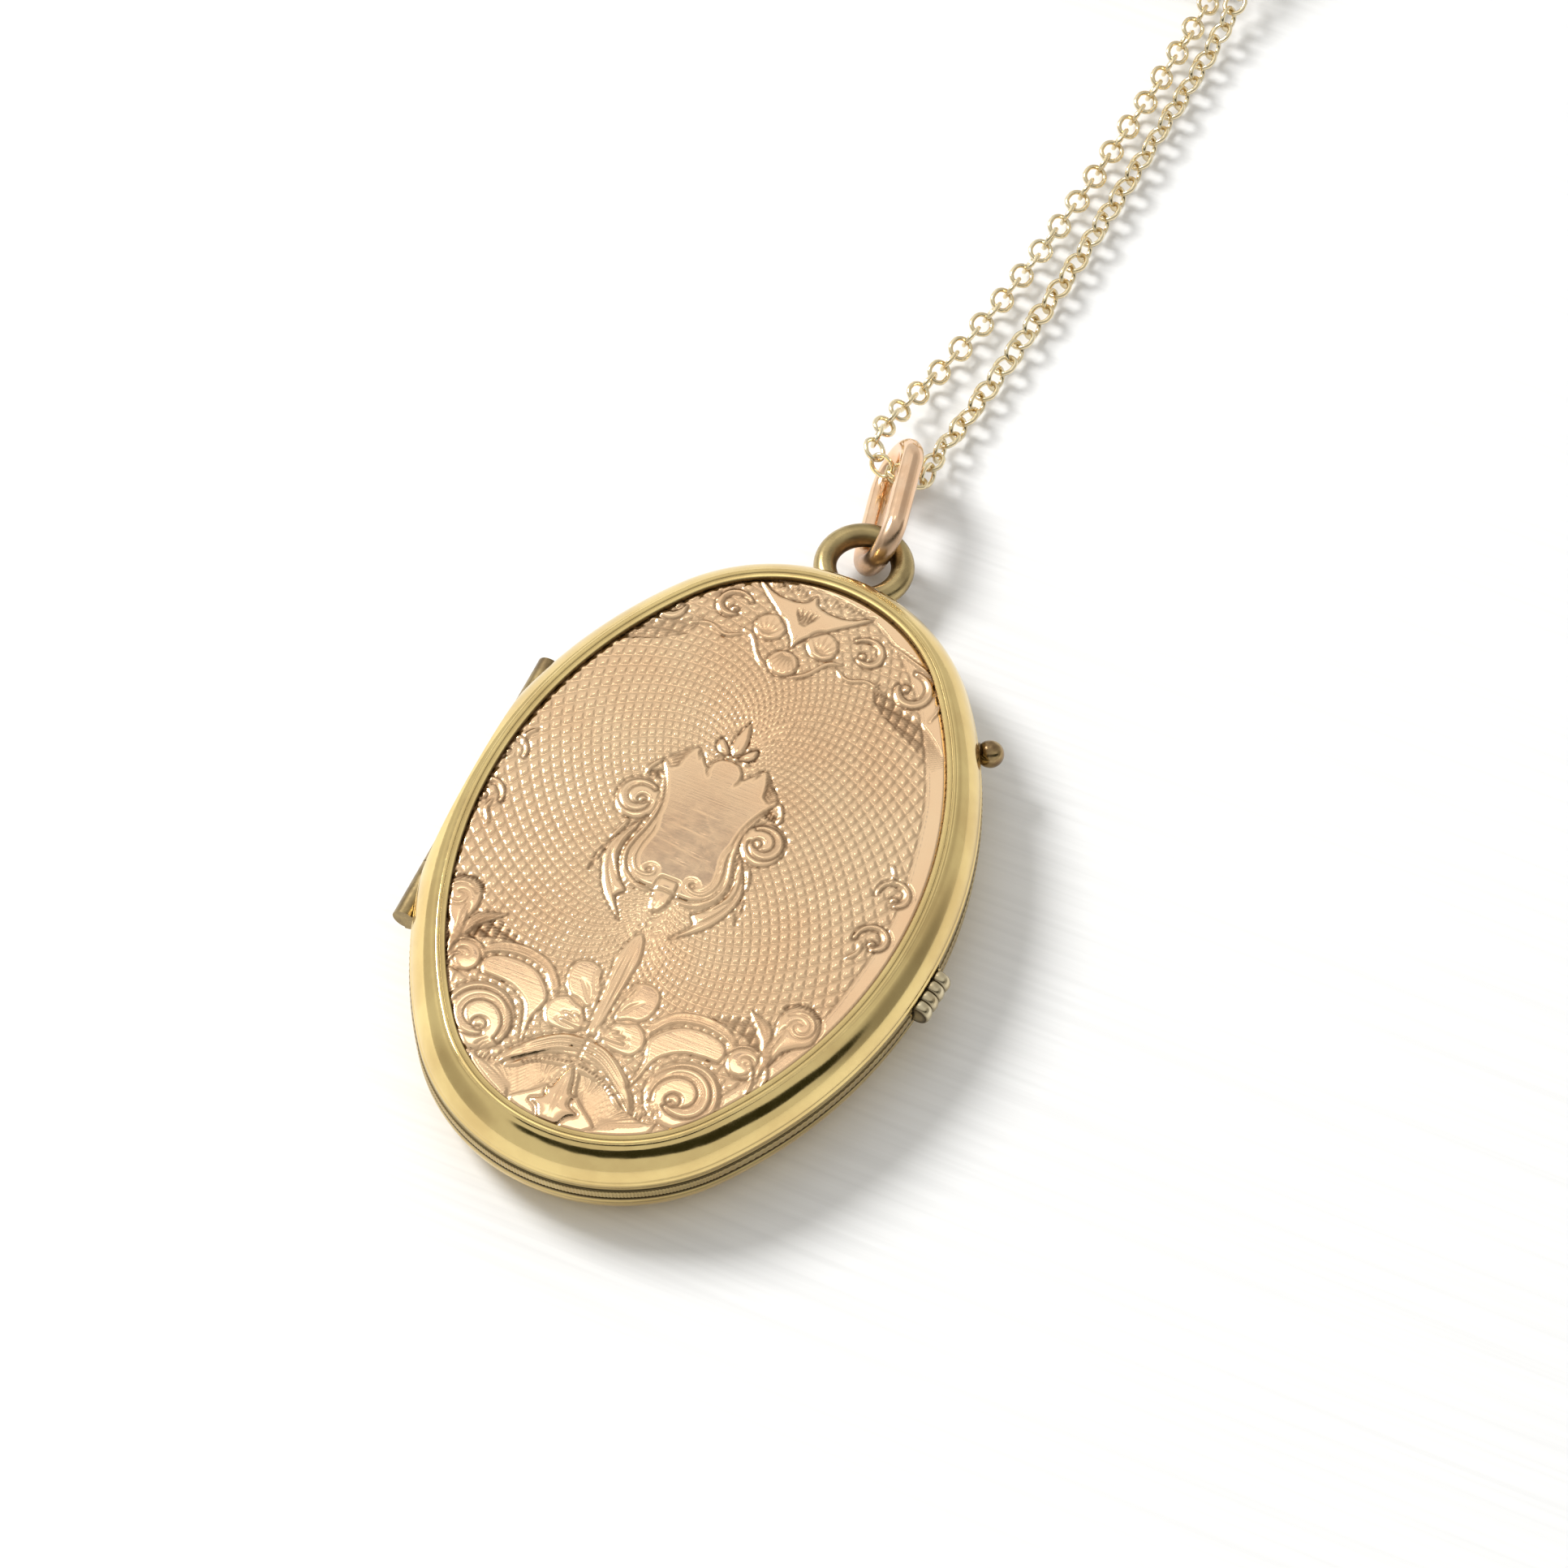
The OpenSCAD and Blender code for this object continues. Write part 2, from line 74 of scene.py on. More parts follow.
# ---- sizes of the CAD model, in millimetres
END_R, END_C, SIDE_C, SIDE_R = 7.75, 8.25, 11.0, 21.5
JOIN = math.atan2(END_C, SIDE_C)
RIM_FLARE, LIP_W, BAND_H, SWELL = 1.69, 0.45, 0.3, 0.26
FRONT_H, BACK_H, PLATE_T, RECESS = 2.05, 2.2, 0.43, 0.07
LEDGE_W, LEDGE_T, BEZEL_D, WALL_D = 0.5, 0.25, 0.2, 0.92
LEAF_T, LEAF_Z, LEAF_PROUD = 0.54, 2.53, 0.05
SEAM_Z, TOP_Z = 2.92, 4.97
SHOULDER_F, SHOULDER_B = 0.66, 0.72
PLATE_Z = TOP_Z - RECESS
HINGE_X, RELIEF_R, HINGE_LEN = 11.3, 0.7, 15.6
BOW = np.array([-0.4, 19.79, 1.7])
BOW_R, WIRE_R = 1.87, 0.58
LINK_L, LINK_W, LINK_LEAN, LINK_YAW, LINK_LIFT, LINK_REACH = 6.5, 3.1, 26, 12, 0.15, 1.46
BALL_AT, BALL_TURN, BALL_R, COLLAR_R = 30.3, 21, 0.66, 0.52
THUMB = (12.26, -1.5, LEAF_Z)
THUMB_TURN, THUMB_R, THUMB_LEN = -3.71, 0.62, 2.4
CHAIN_D, PITCH = 1.28, 0.92
COIL = (-7.0, 70.0)

P_LINK = (-1.04, 25.31, 1.97)
LAID = 0.65  # height of the chain's middle on the table
ROUTE_LEFT = [
    P_LINK, (-1.57, 25.2, 2.23), (-2.04, 25.25, 2.45), (-2.44, 25.63, 2.6), (-2.67, 26.3, 2.6),
    (-2.75, 27.3, 2.3), (-2.7, 28.6, 1.75), (-2.55, 30, 1.2), (-2.3, 31.6, 0.8),
    *((x, y, LAID) for x, y in (
        (-1.95, 33.3), (-1.5, 35.5), (-1.1, 37.7), (-0.75, 40), (-0.4, 42.6), (-0.1, 45.2), (0.15, 47.8),
        (0.35, 50.4), (0.6, 53), (0.75, 55.6), (0.9, 58.2), (1, 60.8), (1.1, 63.4), (1.2, 66), (1.2, 68.2))),
]
ROUTE_RIGHT = [
    P_LINK, (-0.51, 25.42, 1.71), (-0.1, 25.66, 1.49), (0.11, 26.17, 1.33), (0, 26.96, 1.25),
    (-0.05, 27.9, 1.05), (0.05, 29.1, 0.8),
    *((x, y, LAID) for x, y in (
        (0.25, 30.6), (0.5, 32.8), (0.75, 35), (0.95, 37.2), (1.2, 39.6), (1.4, 42), (1.55, 44.4),
        (1.7, 46.9), (1.85, 49.4), (2, 52), (2.15, 54.6))),
    (2.3, 57.2, 0.75), (2.4, 59.6, 1.15), (2.3, 61.8, 1.8), (2, 64, 2.6), (1.5, 66.3, 3.25),
    (1.2, 68.2, 3.45),
]
TAIL_LEFT = [(-3.3, 74.9, LAID), (-4.1, 75.4, 0.8), (-5.1, 75.6, 1), (-6, 75.3, 1.1), (-6.7, 74.9, 1.15)]
TAIL_RIGHT = [
    (-10.7, 65.1, 3.4), (-9.9, 64.5, 2.7), (-8.9, 64.3, 1.9), (-8, 64.6, 1.35), (-7.4, 65.2, 1.15),
    (-7.15, 66.1, 1.15),
]


# ---- camera, stage and light
def add(name, data):
    obj = bpy.data.objects.new(name, data)
    bpy.context.scene.collection.objects.link(obj)
    return obj


def make_camera():
    data = bpy.data.cameras.new("camera")
    data.sensor_width = data.sensor_height = 36
    data.lens = 149.07
    data.clip_start, data.clip_end = 0.01, 10
    cam = add("camera", data)
    right, up, back = (0.911, 0.4122, 0.011), (-0.3496, 0.758, 0.5507), (0.2186, -0.5055, 0.8346)
    rot = Matrix((right, up, back)).transposed().to_4x4()
    cam.matrix_world = Matrix.Translation(Vector((67.748, -146.893, 255.507)) * MM) @ rot
    bpy.context.scene.camera = cam


# sockets of a Mix node for colours
COLOUR_A, COLOUR_B, COLOUR_OUT = 6, 7, 2


def nodes_of(tree, *specs):
    """Adds nodes from (type, {input or property: value}) and returns them."""
    made = []
    for kind, values in specs:
        node = tree.nodes.new("ShaderNode" + kind)
        for key, value in values.items():
            if hasattr(node, str(key)):
                setattr(node, key, value)
            else:
                node.inputs[key].default_value = value
        made.append(node)
    return made


def wire(tree, *links):
    """Joins nodes from (node, output, node, input)."""
    for source, output, sink, socket in links:
        tree.links.new(source.outputs[output], sink.inputs[socket])


def world_patches():
    """(azimuth, elevation, inner radius, outer radius, colour) in degrees, the last ones on top."""
    grey, dark = (0.50, 0.50, 0.54), (0.03, 0.03, 0.014)
    streak = [(-116, 41, 4, 8), (-102, 42, 5, 9), (-88, 42, 6, 10), (-74, 42, 7, 11), (-60, 42, 8, 12),
              (-46, 41, 9, 12), (-32, 38, 10, 13), (-19, 33, 10, 13), (-7, 28, 9, 12), (4, 23, 6, 10)]
    return [
        (0, 90, 0, 180, (0.7, 0.7, 0.68)), (150, 38, 14, 34, (0.86, 0.86, 0.84)),
        (60, 40, 10, 30, (0.52, 0.51, 0.49)), (115, 56, 9, 20, (0.92, 0.91, 0.89)),
        (115.8, 58.1, 1.6, 2.1, grey), (114.2, 59.6, 0.8, 1.3, grey), (119, 58.4, 0.8, 1.3, grey),
        (112.4, 60.3, 0.8, 1.3, (0.52, 0.52, 0.56)), (121.3, 58, 0.8, 1.3, (0.6, 0.6, 0.62)),
        (122, 64.4, 5.0, 5.9, (2.1, 2.05, 1.95)), (20, 12, 6, 26, (0.3, 0.29, 0.27)),
        *((*patch, dark) for patch in streak), (-150, 14, 6, 26, (0.5, 0.49, 0.46)),
    ]


def make_world():
    """A white studio with a darker zone over the case and a dark streak for the rim."""
    world = bpy.data.worlds.new("studio")
    bpy.context.scene.world = world
    world.use_nodes = True
    tree = world.node_tree
    tree.nodes.clear()
    coord, out, back, white, path, choose = nodes_of(
        tree, ("TexCoord", {}), ("OutputWorld", {}), ("Background", {}),
        ("Background", {"Color": (1, 1, 1, 1), "Strength": 1.0}), ("LightPath", {}),
        ("MixShader", {}))
    below = None
    first, *patches = world_patches()
    for az, el, inner, outer, tint in patches:
        az, el = math.radians(az), math.radians(el)
        way = (math.cos(el) * math.cos(az), math.cos(el) * math.sin(az), math.sin(el))
        dot, fade, mix = nodes_of(
            tree, ("VectorMath", {"operation": "DOT_PRODUCT", 1: way}),
            ("MapRange", {"interpolation_type": "SMOOTHSTEP", "From Min": math.cos(math.radians(outer)),
                                    "From Max": math.cos(math.radians(inner))}),
            ("Mix", {"data_type": "RGBA", COLOUR_A: (*first[-1], 1), COLOUR_B: (*tint, 1)}))
        wire(tree, (coord, "Generated", dot, 0), (dot, "Value", fade, "Value"),
             (fade, "Result", mix, "Factor"))
        if below:
            wire(tree, (below, COLOUR_OUT, mix, COLOUR_A))
        below = mix
    wire(tree, (below, COLOUR_OUT, back, "Color"), (path, "Is Camera Ray", choose, 0), (back, 0, choose, 1),
         (white, 0, choose, 2), (choose, 0, out, "Surface"))


def make_light(name, place, target, size, power):
    data = bpy.data.lights.new(name, "AREA")
    data.shape, data.size, data.energy = "DISK", size, power
    light = add(name, data)
    light.location = place
    light.rotation_euler = (Vector(target) - Vector(place)).to_track_quat("-Z", "Y").to_euler()


def new_material(name, **values):
    """A material whose Principled shader has the given values, as material, node tree and shader."""
    mat = bpy.data.materials.new(name)
    mat.use_nodes = True
    shader = mat.node_tree.nodes["Principled BSDF"]
    for key, value in values.items():
        shader.inputs[key.replace("_", " ")].default_value = value
    return mat, mat.node_tree, shader


def make_floor():
    mesh = bpy.data.meshes.new("floor")
    half = 1.5
    corners = [(x * half, y * half, 0) for x, y in ((-1, -1), (1, -1), (1, 1), (-1, 1))]
    mesh.from_pydata(corners, [], [(0, 1, 2, 3)])
    floor = add("floor", mesh)
    floor.location.z = cad_low.z
    mat, tree, shader = new_material("floor_paint", Roughness=0.55)
    coord, turned, noise, ramp, bump = nodes_of(
        tree, ("TexCoord", {}),
        ("Mapping", {"Rotation": (0, 0, math.radians(-22)), "Scale": (40, 2600, 40)}),
        ("TexNoise", {"Scale": 1.0, "Detail": 5.0}),
        ("MapRange", {"From Min": 0.35, "From Max": 0.65, "To Min": 0.89, "To Max": 0.95}),
        ("Bump", {"Strength": 0.1, "Distance": 0.00005}))
    wire(tree, (coord, "Object", turned, "Vector"), (turned, 0, noise, "Vector"), (noise, 0, ramp, "Value"),
         (ramp, 0, shader, "Base Color"), (noise, 0, bump, "Height"), (bump, 0, shader, "Normal"))
    mesh.materials.append(mat)


# ---- materials
def metal(name, light, dark, rough=(0.12, 0.22), dirt_and_shade=(0.05, 0.032, 0.016), patch=0.22, scratch=0.12):
    """A worn metal: slow colour drift, fine haze, hairline scratches, and a darker colour where the point
    attribute says so: dirt, and painted shade in seams and hollows.
    """
    mat, tree, shader = new_material(name, Metallic=1.0)
    coord, big, small, fine, lines_at, lines, dirt_and_shade_level = nodes_of(
        tree, ("TexCoord", {}),
        ("TexNoise", {"Scale": patch / MM, "Detail": 4.0, "Roughness": 0.6}),
        ("TexNoise", {"Scale": 1.6 / MM, "Detail": 5.0, "Roughness": 0.65}),
        ("TexNoise", {"Scale": 11 / MM, "Detail": 2.0}),
        ("Mapping", {"Rotation": (0.3, 0.2, 0.42), "Scale": (0.35 / MM, 9 / MM, 3 / MM)}),
        ("TexNoise", {"Scale": 1.0, "Detail": 3.0}),
        ("Attribute", {"attribute_name": "dirt_and_shade"}))
    drift, tone, dirt_and_shade_mix, rough_map, rough_mix, height, bump = nodes_of(
        tree, ("MapRange", {"From Min": 0.36, "From Max": 0.64}),
        ("Mix", {"data_type": "RGBA", COLOUR_A: (*light, 1), COLOUR_B: (*dark, 1)}),
        ("Mix", {"data_type": "RGBA", COLOUR_B: (*dirt_and_shade, 1)}),
        ("MapRange", {"From Min": 0.3, "From Max": 0.7, "To Min": rough[0], "To Max": rough[1]}),
        ("Mix", {"data_type": "FLOAT", "B": 0.5}),
        ("Math", {"operation": "MULTIPLY_ADD", 1: 0.5}),
        ("Bump", {"Strength": scratch, "Distance": 0.006 * MM}))
    wire(tree, (coord, "Object", big, "Vector"), (coord, "Object", small, "Vector"),
         (coord, "Object", fine, "Vector"), (coord, "Object", lines_at, "Vector"),
         (lines_at, 0, lines, "Vector"), (big, 0, drift, "Value"), (drift, 0, tone, "Factor"),
         (dirt_and_shade_level, "Fac", dirt_and_shade_mix, "Factor"), (tone, COLOUR_OUT, dirt_and_shade_mix, COLOUR_A),
         (dirt_and_shade_mix, COLOUR_OUT, shader, "Base Color"), (small, 0, rough_map, "Value"),
         (dirt_and_shade_level, "Fac", rough_mix, "Factor"), (rough_map, 0, rough_mix, "A"),
         (rough_mix, 0, shader, "Roughness"), (fine, 0, height, 0), (lines, 0, height, 2),
         (height, 0, bump, "Height"), (bump, 0, shader, "Normal"))
    return mat


def card_material():
    mat, tree, shader = new_material("photo_card", Roughness=0.62, Specular_IOR_Level=0.3)
    coord, fibre, cloud, tone, tint, bump = nodes_of(
        tree, ("TexCoord", {}), ("TexNoise", {"Scale": 9 / MM, "Detail": 4.0}),
        ("TexNoise", {"Scale": 0.16 / MM, "Detail": 5.0, "Roughness": 0.6}),
        ("MapRange", {"From Min": 0.3, "From Max": 0.7}),
        ("Mix", {"data_type": "RGBA", COLOUR_A: (0.62, 0.51, 0.36, 1), COLOUR_B: (0.40, 0.30, 0.19, 1)}),
        ("Bump", {"Strength": 0.3, "Distance": 0.01 * MM}))
    wire(tree, (coord, "Object", fibre, "Vector"), (coord, "Object", cloud, "Vector"),
         (cloud, 0, tone, "Value"), (tone, 0, tint, "Factor"), (tint, COLOUR_OUT, shader, "Base Color"),
         (fibre, 0, bump, "Height"), (bump, 0, shader, "Normal"))
    return mat


def window_material():
    mat, tree, shader = new_material("window", Alpha=0.16, IOR=1.5)
    coord, noise, rough, tint = nodes_of(
        tree, ("TexCoord", {}), ("TexNoise", {"Scale": 0.5 / MM, "Detail": 6.0}),
        ("MapRange", {"To Min": 0.02, "To Max": 0.12}),
        ("Mix", {"data_type": "RGBA", COLOUR_A: (0.9, 0.88, 0.8, 1), COLOUR_B: (0.8, 0.74, 0.6, 1)}))
    wire(tree, (coord, "Object", noise, "Vector"), (noise, 0, rough, "Value"),
         (rough, 0, shader, "Roughness"), (noise, 0, tint, "Factor"),
         (tint, COLOUR_OUT, shader, "Base Color"))
    return mat


make_camera()
make_world()
make_floor()
make_light("key", (-0.52, 0.10, 0.50), (0, 0, 0), 0.26, 4.2)

ROSE = metal("rose_gold_plate", (0.95, 0.68, 0.42), (0.92, 0.61, 0.36), rough=(0.06, 0.13),
             dirt_and_shade=(0.10, 0.045, 0.017), patch=0.16, scratch=0.16)
YELLOW = metal("yellow_gold", (0.86, 0.66, 0.29), (0.74, 0.54, 0.23), rough=(0.07, 0.14),
               dirt_and_shade=(0.06, 0.04, 0.015), patch=0.3, scratch=0.10)
LEAF_GOLD = metal("leaf_gold", (0.82, 0.64, 0.30), (0.72, 0.52, 0.24), rough=(0.14, 0.24), patch=0.4)
HINGE = metal("hinge_brass", (0.40, 0.30, 0.14), (0.20, 0.14, 0.07), rough=(0.22, 0.38), patch=0.6,
              scratch=0.2)
BOW_BRASS = metal("bow_brass", (0.52, 0.40, 0.19), (0.34, 0.25, 0.12), rough=(0.2, 0.34), patch=0.5,
                  scratch=0.2)
PALE = metal("pale_gold", (0.80, 0.70, 0.48), (0.62, 0.50, 0.30), rough=(0.14, 0.26), patch=0.7)
PIN = metal("pin_brass", (0.58, 0.42, 0.20), (0.22, 0.14, 0.07), rough=(0.14, 0.3), patch=0.8)
BAIL = metal("bail_rose_gold", (0.93, 0.66, 0.45), (0.84, 0.54, 0.33), rough=(0.1, 0.18), patch=0.5)
CHAIN_GOLD = metal("chain_gold", (0.98, 0.86, 0.60), (0.95, 0.78, 0.48), rough=(0.1, 0.18), patch=0.2)
CLASP_GOLD = metal("clasp_gold", (0.90, 0.73, 0.40), (0.84, 0.64, 0.32), rough=(0.1, 0.2), patch=0.4)
CARD = card_material()
WINDOW = window_material()


# ---- mesh helpers
def new_mesh(name, points, faces):
    """A mesh from points in millimetres and faces."""
    mesh = bpy.data.meshes.new(name)
    mesh.from_pydata((np.asarray(points, float) * MM).tolist(), [], [list(map(int, f)) for f in faces])
    return mesh


def turn_normals_out(mesh):
    bm = bmesh.new()
    bm.from_mesh(mesh)
    bmesh.ops.recalc_face_normals(bm, faces=bm.faces)
    bm.to_mesh(mesh)
    bm.free()


def shade(mesh, sharp):
    """Smooth faces with sharp edges above an angle."""
    mesh.polygons.foreach_set("use_smooth", np.ones(len(mesh.polygons), bool))
    mesh.set_sharp_from_angle(angle=math.radians(sharp))
    mesh.update()


def build(name, points, faces, material, body, dirt_and_shade, sharp=32, nodes=()):
    """A piece from points in millimetres and faces, riding on a body and standing for CAD nodes."""
    mesh = new_mesh(name, points, faces)
    mesh.materials.append(material)
    piece = add(name, mesh)
    # per-point darkening of the colour: dirt, and painted shade in seams and hollows
    mesh.attributes.new("dirt_and_shade", "FLOAT", "POINT").data.foreach_set("value", np.asarray(dirt_and_shade, np.float32))
    turn_normals_out(mesh)
    shade(mesh, sharp)
    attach(piece, body)
    if nodes:
        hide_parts(*nodes)
    return piece


def grid_faces(rows, cols, close_rows=False, close_cols=False):
    """Quads over a rows x cols sheet of points, with wrapping where asked."""
    i = np.arange(rows if close_rows else rows - 1)
    j = np.arange(cols if close_cols else cols - 1)
    i, j = np.meshgrid(i, j, indexing="ij")
    i2, j2 = (i + 1) % rows, (j + 1) % cols
    return np.stack([i * cols + j, i2 * cols + j, i2 * cols + j2, i * cols + j2], -1).reshape(-1, 4)


def curve(points, step=0.12, closed=False):
    """Catmull-Rom line through the points, resampled evenly."""
    p = np.asarray(points, float)
    q = np.vstack([p[-1:], p, p[:2]]) if closed else np.vstack([2 * p[0] - p[1], p, 2 * p[-1] - p[-2]])
    t = np.linspace(0, 1, 12, endpoint=False)[:, None]
    parts = []
    for k in range(len(q) - 3):
        a, b, c, d = q[k:k + 4]
        parts.append(0.5 * (2 * b + (c - a) * t + (2 * a - 5 * b + 4 * c - d) * t**2
                            + (3 * b - a - 3 * c + d) * t**3))
    line = np.vstack([*parts, q[-2][None]])
    run = np.concatenate([[0], np.cumsum(np.linalg.norm(np.diff(line, axis=0), axis=1))])
    count = max(2, int(round(run[-1] / step)) + 1)
    at = np.linspace(0, run[-1], count)
    return np.stack([np.interp(at, run, line[:, k]) for k in range(p.shape[1])], 1)


def frames_along(path):
    """Tangent, side and upper direction at each point of a path."""
    tangent = np.gradient(path, axis=0)
    tangent /= np.linalg.norm(tangent, axis=1)[:, None]
    side = np.cross((0.0, 0.0, 1.0), tangent)
    side /= np.linalg.norm(side, axis=1)[:, None]
    return tangent, side, np.cross(tangent, side)


def lathe(profile, segments=72):
    """Points and faces of a profile of (radius, height) turned about +Z, closed at both ends."""
    a = np.linspace(0, TURN, segments, endpoint=False)
    rows = [np.stack([r * np.cos(a), r * np.sin(a), np.full(segments, z)], 1) for r, z in profile]
    points = np.vstack([*rows, [[0, 0, profile[0][1]]], [[0, 0, profile[-1][1]]]])
    faces = [list(q) for q in grid_faces(len(profile), segments, close_cols=True)]
    low, high, last = len(points) - 2, len(points) - 1, (len(profile) - 1) * segments
    for k in range(segments):
        faces.append([low, (k + 1) % segments, k])
        faces.append([high, last + k, last + (k + 1) % segments])
    return points, faces


def unit(values):
    return np.clip(values, 0, 1)


def place(points, matrix):
    p = np.asarray(points, float)
    m = np.array(matrix)
    return p @ m[:3, :3].T + m[:3, 3]


def turn(axis, degrees):
    return Matrix.Rotation(math.radians(degrees), 4, axis)


# ---- the oval
def oval_distance(x, y):
    """Signed distance from the plate's edge, negative inside."""
    ax, ay = np.abs(x), np.abs(y)
    end = ay - END_C >= ax * END_C / SIDE_C
    return np.where(end, np.hypot(ax, ay - END_C) - END_R, np.hypot(ax + SIDE_C, ay) - SIDE_R)


def oval_stations(per_side, per_end):
    """Points on the plate's edge and their outward directions, in one turn."""
    parts = []
    for centre, radius, a0, a1, n in (
            ((-SIDE_C, 0), SIDE_R, -JOIN, JOIN, per_side), ((0, END_C), END_R, JOIN, math.pi - JOIN, per_end),
            ((SIDE_C, 0), SIDE_R, math.pi - JOIN, math.pi + JOIN, per_side),
            ((0, -END_C), END_R, math.pi + JOIN, TURN - JOIN, per_end)):
        a = np.linspace(a0, a1, n, endpoint=False)
        out = np.stack([np.cos(a), np.sin(a)], 1)
        parts.append(np.hstack([np.asarray(centre) + radius * out, out]))
    s = np.vstack(parts)
    return s[:, :2], s[:, 2:]


def sweep(profile, per_side=120, per_end=150, ripple=None):
    """Points and faces of a closed profile of (offset, height) swept round the oval."""
    at, out = oval_stations(per_side, per_end)
    profile = np.asarray(profile, float)
    d = np.repeat(profile[None, :, 0], len(at), 0)
    z = np.repeat(profile[None, :, 1], len(at), 0)
    if ripple is not None:
        d, z = ripple(d, z, np.arange(len(at))[:, None], at)
    xy = at[:, None] + d[..., None] * out[:, None]
    points = np.concatenate([xy, z[..., None]], -1).reshape(-1, 3)
    return points, grid_faces(len(at), len(profile), close_rows=True, close_cols=True)


def cutter(points, faces):
    mesh = new_mesh("cutter", points, faces)
    turn_normals_out(mesh)
    return add("cutter", mesh)


def box_points(low, high):
    (a, b, c), (d, e, f) = low, high
    points = [(a, b, c), (d, b, c), (d, e, c), (a, e, c), (a, b, f), (d, b, f), (d, e, f), (a, e, f)]
    faces = [(3, 2, 1, 0), (4, 5, 6, 7), (0, 1, 5, 4), (1, 2, 6, 5), (2, 3, 7, 6), (3, 0, 4, 7)]
    return points, faces


def carve(piece, cutters, sharp=32):
    """Cuts pieces away from a piece for good."""
    for tool in cutters:
        mod = piece.modifiers.new("cut", "BOOLEAN")
        mod.operation, mod.object, mod.solver = "DIFFERENCE", tool, "EXACT"
    graph = bpy.context.evaluated_depsgraph_get()
    graph.update()
    mesh = bpy.data.meshes.new_from_object(piece.evaluated_get(graph))
    piece.modifiers.clear()
    piece.data = mesh
    shade(mesh, sharp)


def hinge_matrix():
    return Matrix.Translation((-HINGE_X, 0, LEAF_Z)) @ turn("X", -90)


def thumb_matrix():
    return Matrix.Translation(THUMB) @ turn("Z", THUMB_TURN) @ turn("X", -90)


def ball_matrix():
    at = math.radians(BALL_AT)
    reach = SIDE_R + RIM_FLARE
    return (Matrix.Translation((reach * math.cos(at) - SIDE_C, reach * math.sin(at), LEAF_Z))
            @ turn("Z", BALL_TURN) @ turn("Y", 90))


def plain_cylinder(radius, low, high, matrix):
    points, faces = lathe([(radius, low), (radius, high)], 64)
    return place(points, matrix), faces


EDGE_GAP, NOTCH = 0.12, 0.14
CUT_LEN = HINGE_LEN + 2 * EDGE_GAP
hinge_cut = cutter(*plain_cylinder(RELIEF_R, -CUT_LEN / 2, CUT_LEN / 2, hinge_matrix()))
flat_cut = cutter(*box_points((-HINGE_X - 5, -CUT_LEN / 2, -1), (-HINGE_X - 0.1, CUT_LEN / 2, 7)))
thumb_half = THUMB_LEN / 2 + NOTCH
thumb_cut = cutter(*plain_cylinder(THUMB_R + NOTCH, -thumb_half, thumb_half, thumb_matrix()))
ball_cut = cutter(*plain_cylinder(COLLAR_R + NOTCH, -0.55, 2.45, ball_matrix()))


# ---- chain
def link_shape():
    """One cable link, long axis +Y, width X: points (sections x ring) about its middle."""
    half_l, half_w, wire, n, m = 0.69, 0.62, 0.12, 26, 7
    t = np.linspace(0, TURN, n, endpoint=False)
    straight = half_l - half_w
    bend = half_w - wire
    mid = np.stack([bend * np.cos(t), bend * np.sin(t) + np.sign(np.sin(t)) * straight, 0 * t], 1)
    out = np.stack([np.cos(t), np.sin(t), 0 * t], 1)
    s = np.linspace(0, TURN, m, endpoint=False)
    ring = mid[:, None] + wire * (np.cos(s)[None, :, None] * out[:, None]
                                  + np.sin(s)[None, :, None] * np.array([0, 0, 1]))
    return ring.reshape(-1, 3), grid_faces(n, m, close_rows=True, close_cols=True)


def coil_turns(start_angle, turns, r0, r1, height):
    a = np.arange(0, turns * TURN, TURN / 16)
    k = a / (turns * TURN)
    r = r0 + (r1 - r0) * k
    a = start_angle + a
    return [(COIL[0] + x, COIL[1] + y, height) for x, y in zip(r * np.cos(a), r * np.sin(a))]


def chain(name, route, layers, tail, rolls, seed):
    rng = np.random.default_rng(seed)
    z_low, z_high = layers
    path, start = list(route), 0.0
    for r0, r1, height in ((8.25, 8.25, z_low), (8.2, 8.15, z_high), (6.95, 6.85, z_high)):
        path += coil_turns(start, 0.9, r0, r1, height)
        start += 0.98 * TURN
    spare = ((math.atan2(tail[0][1] - COIL[1], tail[0][0] - COIL[0]) - start) % TURN) / TURN
    path += coil_turns(start, max(spare - 0.06, 0.05), 6.6, 6.3, z_low)
    path += list(tail)
    line = curve(path, PITCH)
    tangent, side, up = frames_along(line)
    shape, faces = link_shape()
    points, quads, dirt_and_shade_level = [], [], []
    for k in range(len(line)):
        roll = math.radians(rolls[k % 2] + rng.normal(0, 7))
        across = math.cos(roll) * side[k] + math.sin(roll) * up[k]
        above = np.cross(across, tangent[k])
        local = shape @ np.stack([across, tangent[k], above])
        points.append(line[k] + local)
        quads.append(faces + k * len(shape))
        # darker at each link's ends, where the links meet
        dirt_and_shade_level.append(np.clip(0.5 * np.abs(shape[:, 1]) - 0.1, 0, 0.3))
    run = np.linalg.norm(np.diff(line, axis=0), axis=1).sum() * MM
    piece = build(name, np.vstack(points), np.vstack(quads), CHAIN_GOLD, "chain",
                  sharp=60, dirt_and_shade=np.concatenate(dirt_and_shade_level))
    return piece, [Vector(p * MM) for p in line], run


for side, route, layers, tail, rolls, seed in (
        ("left", ROUTE_LEFT, (LAID, 2.05), TAIL_LEFT, (24, 112), 11),
        ("right", ROUTE_RIGHT, (3.45, 4.85), TAIL_RIGHT, (66, -22), 12)):
    piece, line, run = chain(f"cable_chain_{side}", route, layers, tail, rolls, seed)
    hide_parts(f"chain_{side}", f"chain_coil_{side}", f"chain_tail_{side}")


# ---- engraved relief
def inside(px, py, poly):
    hit = np.zeros(len(px), bool)
    x0, y0 = poly[:, 0], poly[:, 1]
    x1, y1 = np.roll(x0, -1), np.roll(y0, -1)
    for a, b, c, d in zip(x0, y0, x1, y1):
        cross = (b > py) != (d > py)
        if d != b:
            hit ^= cross & (px < (c - a) * (py - b) / (d - b) + a)
    return hit


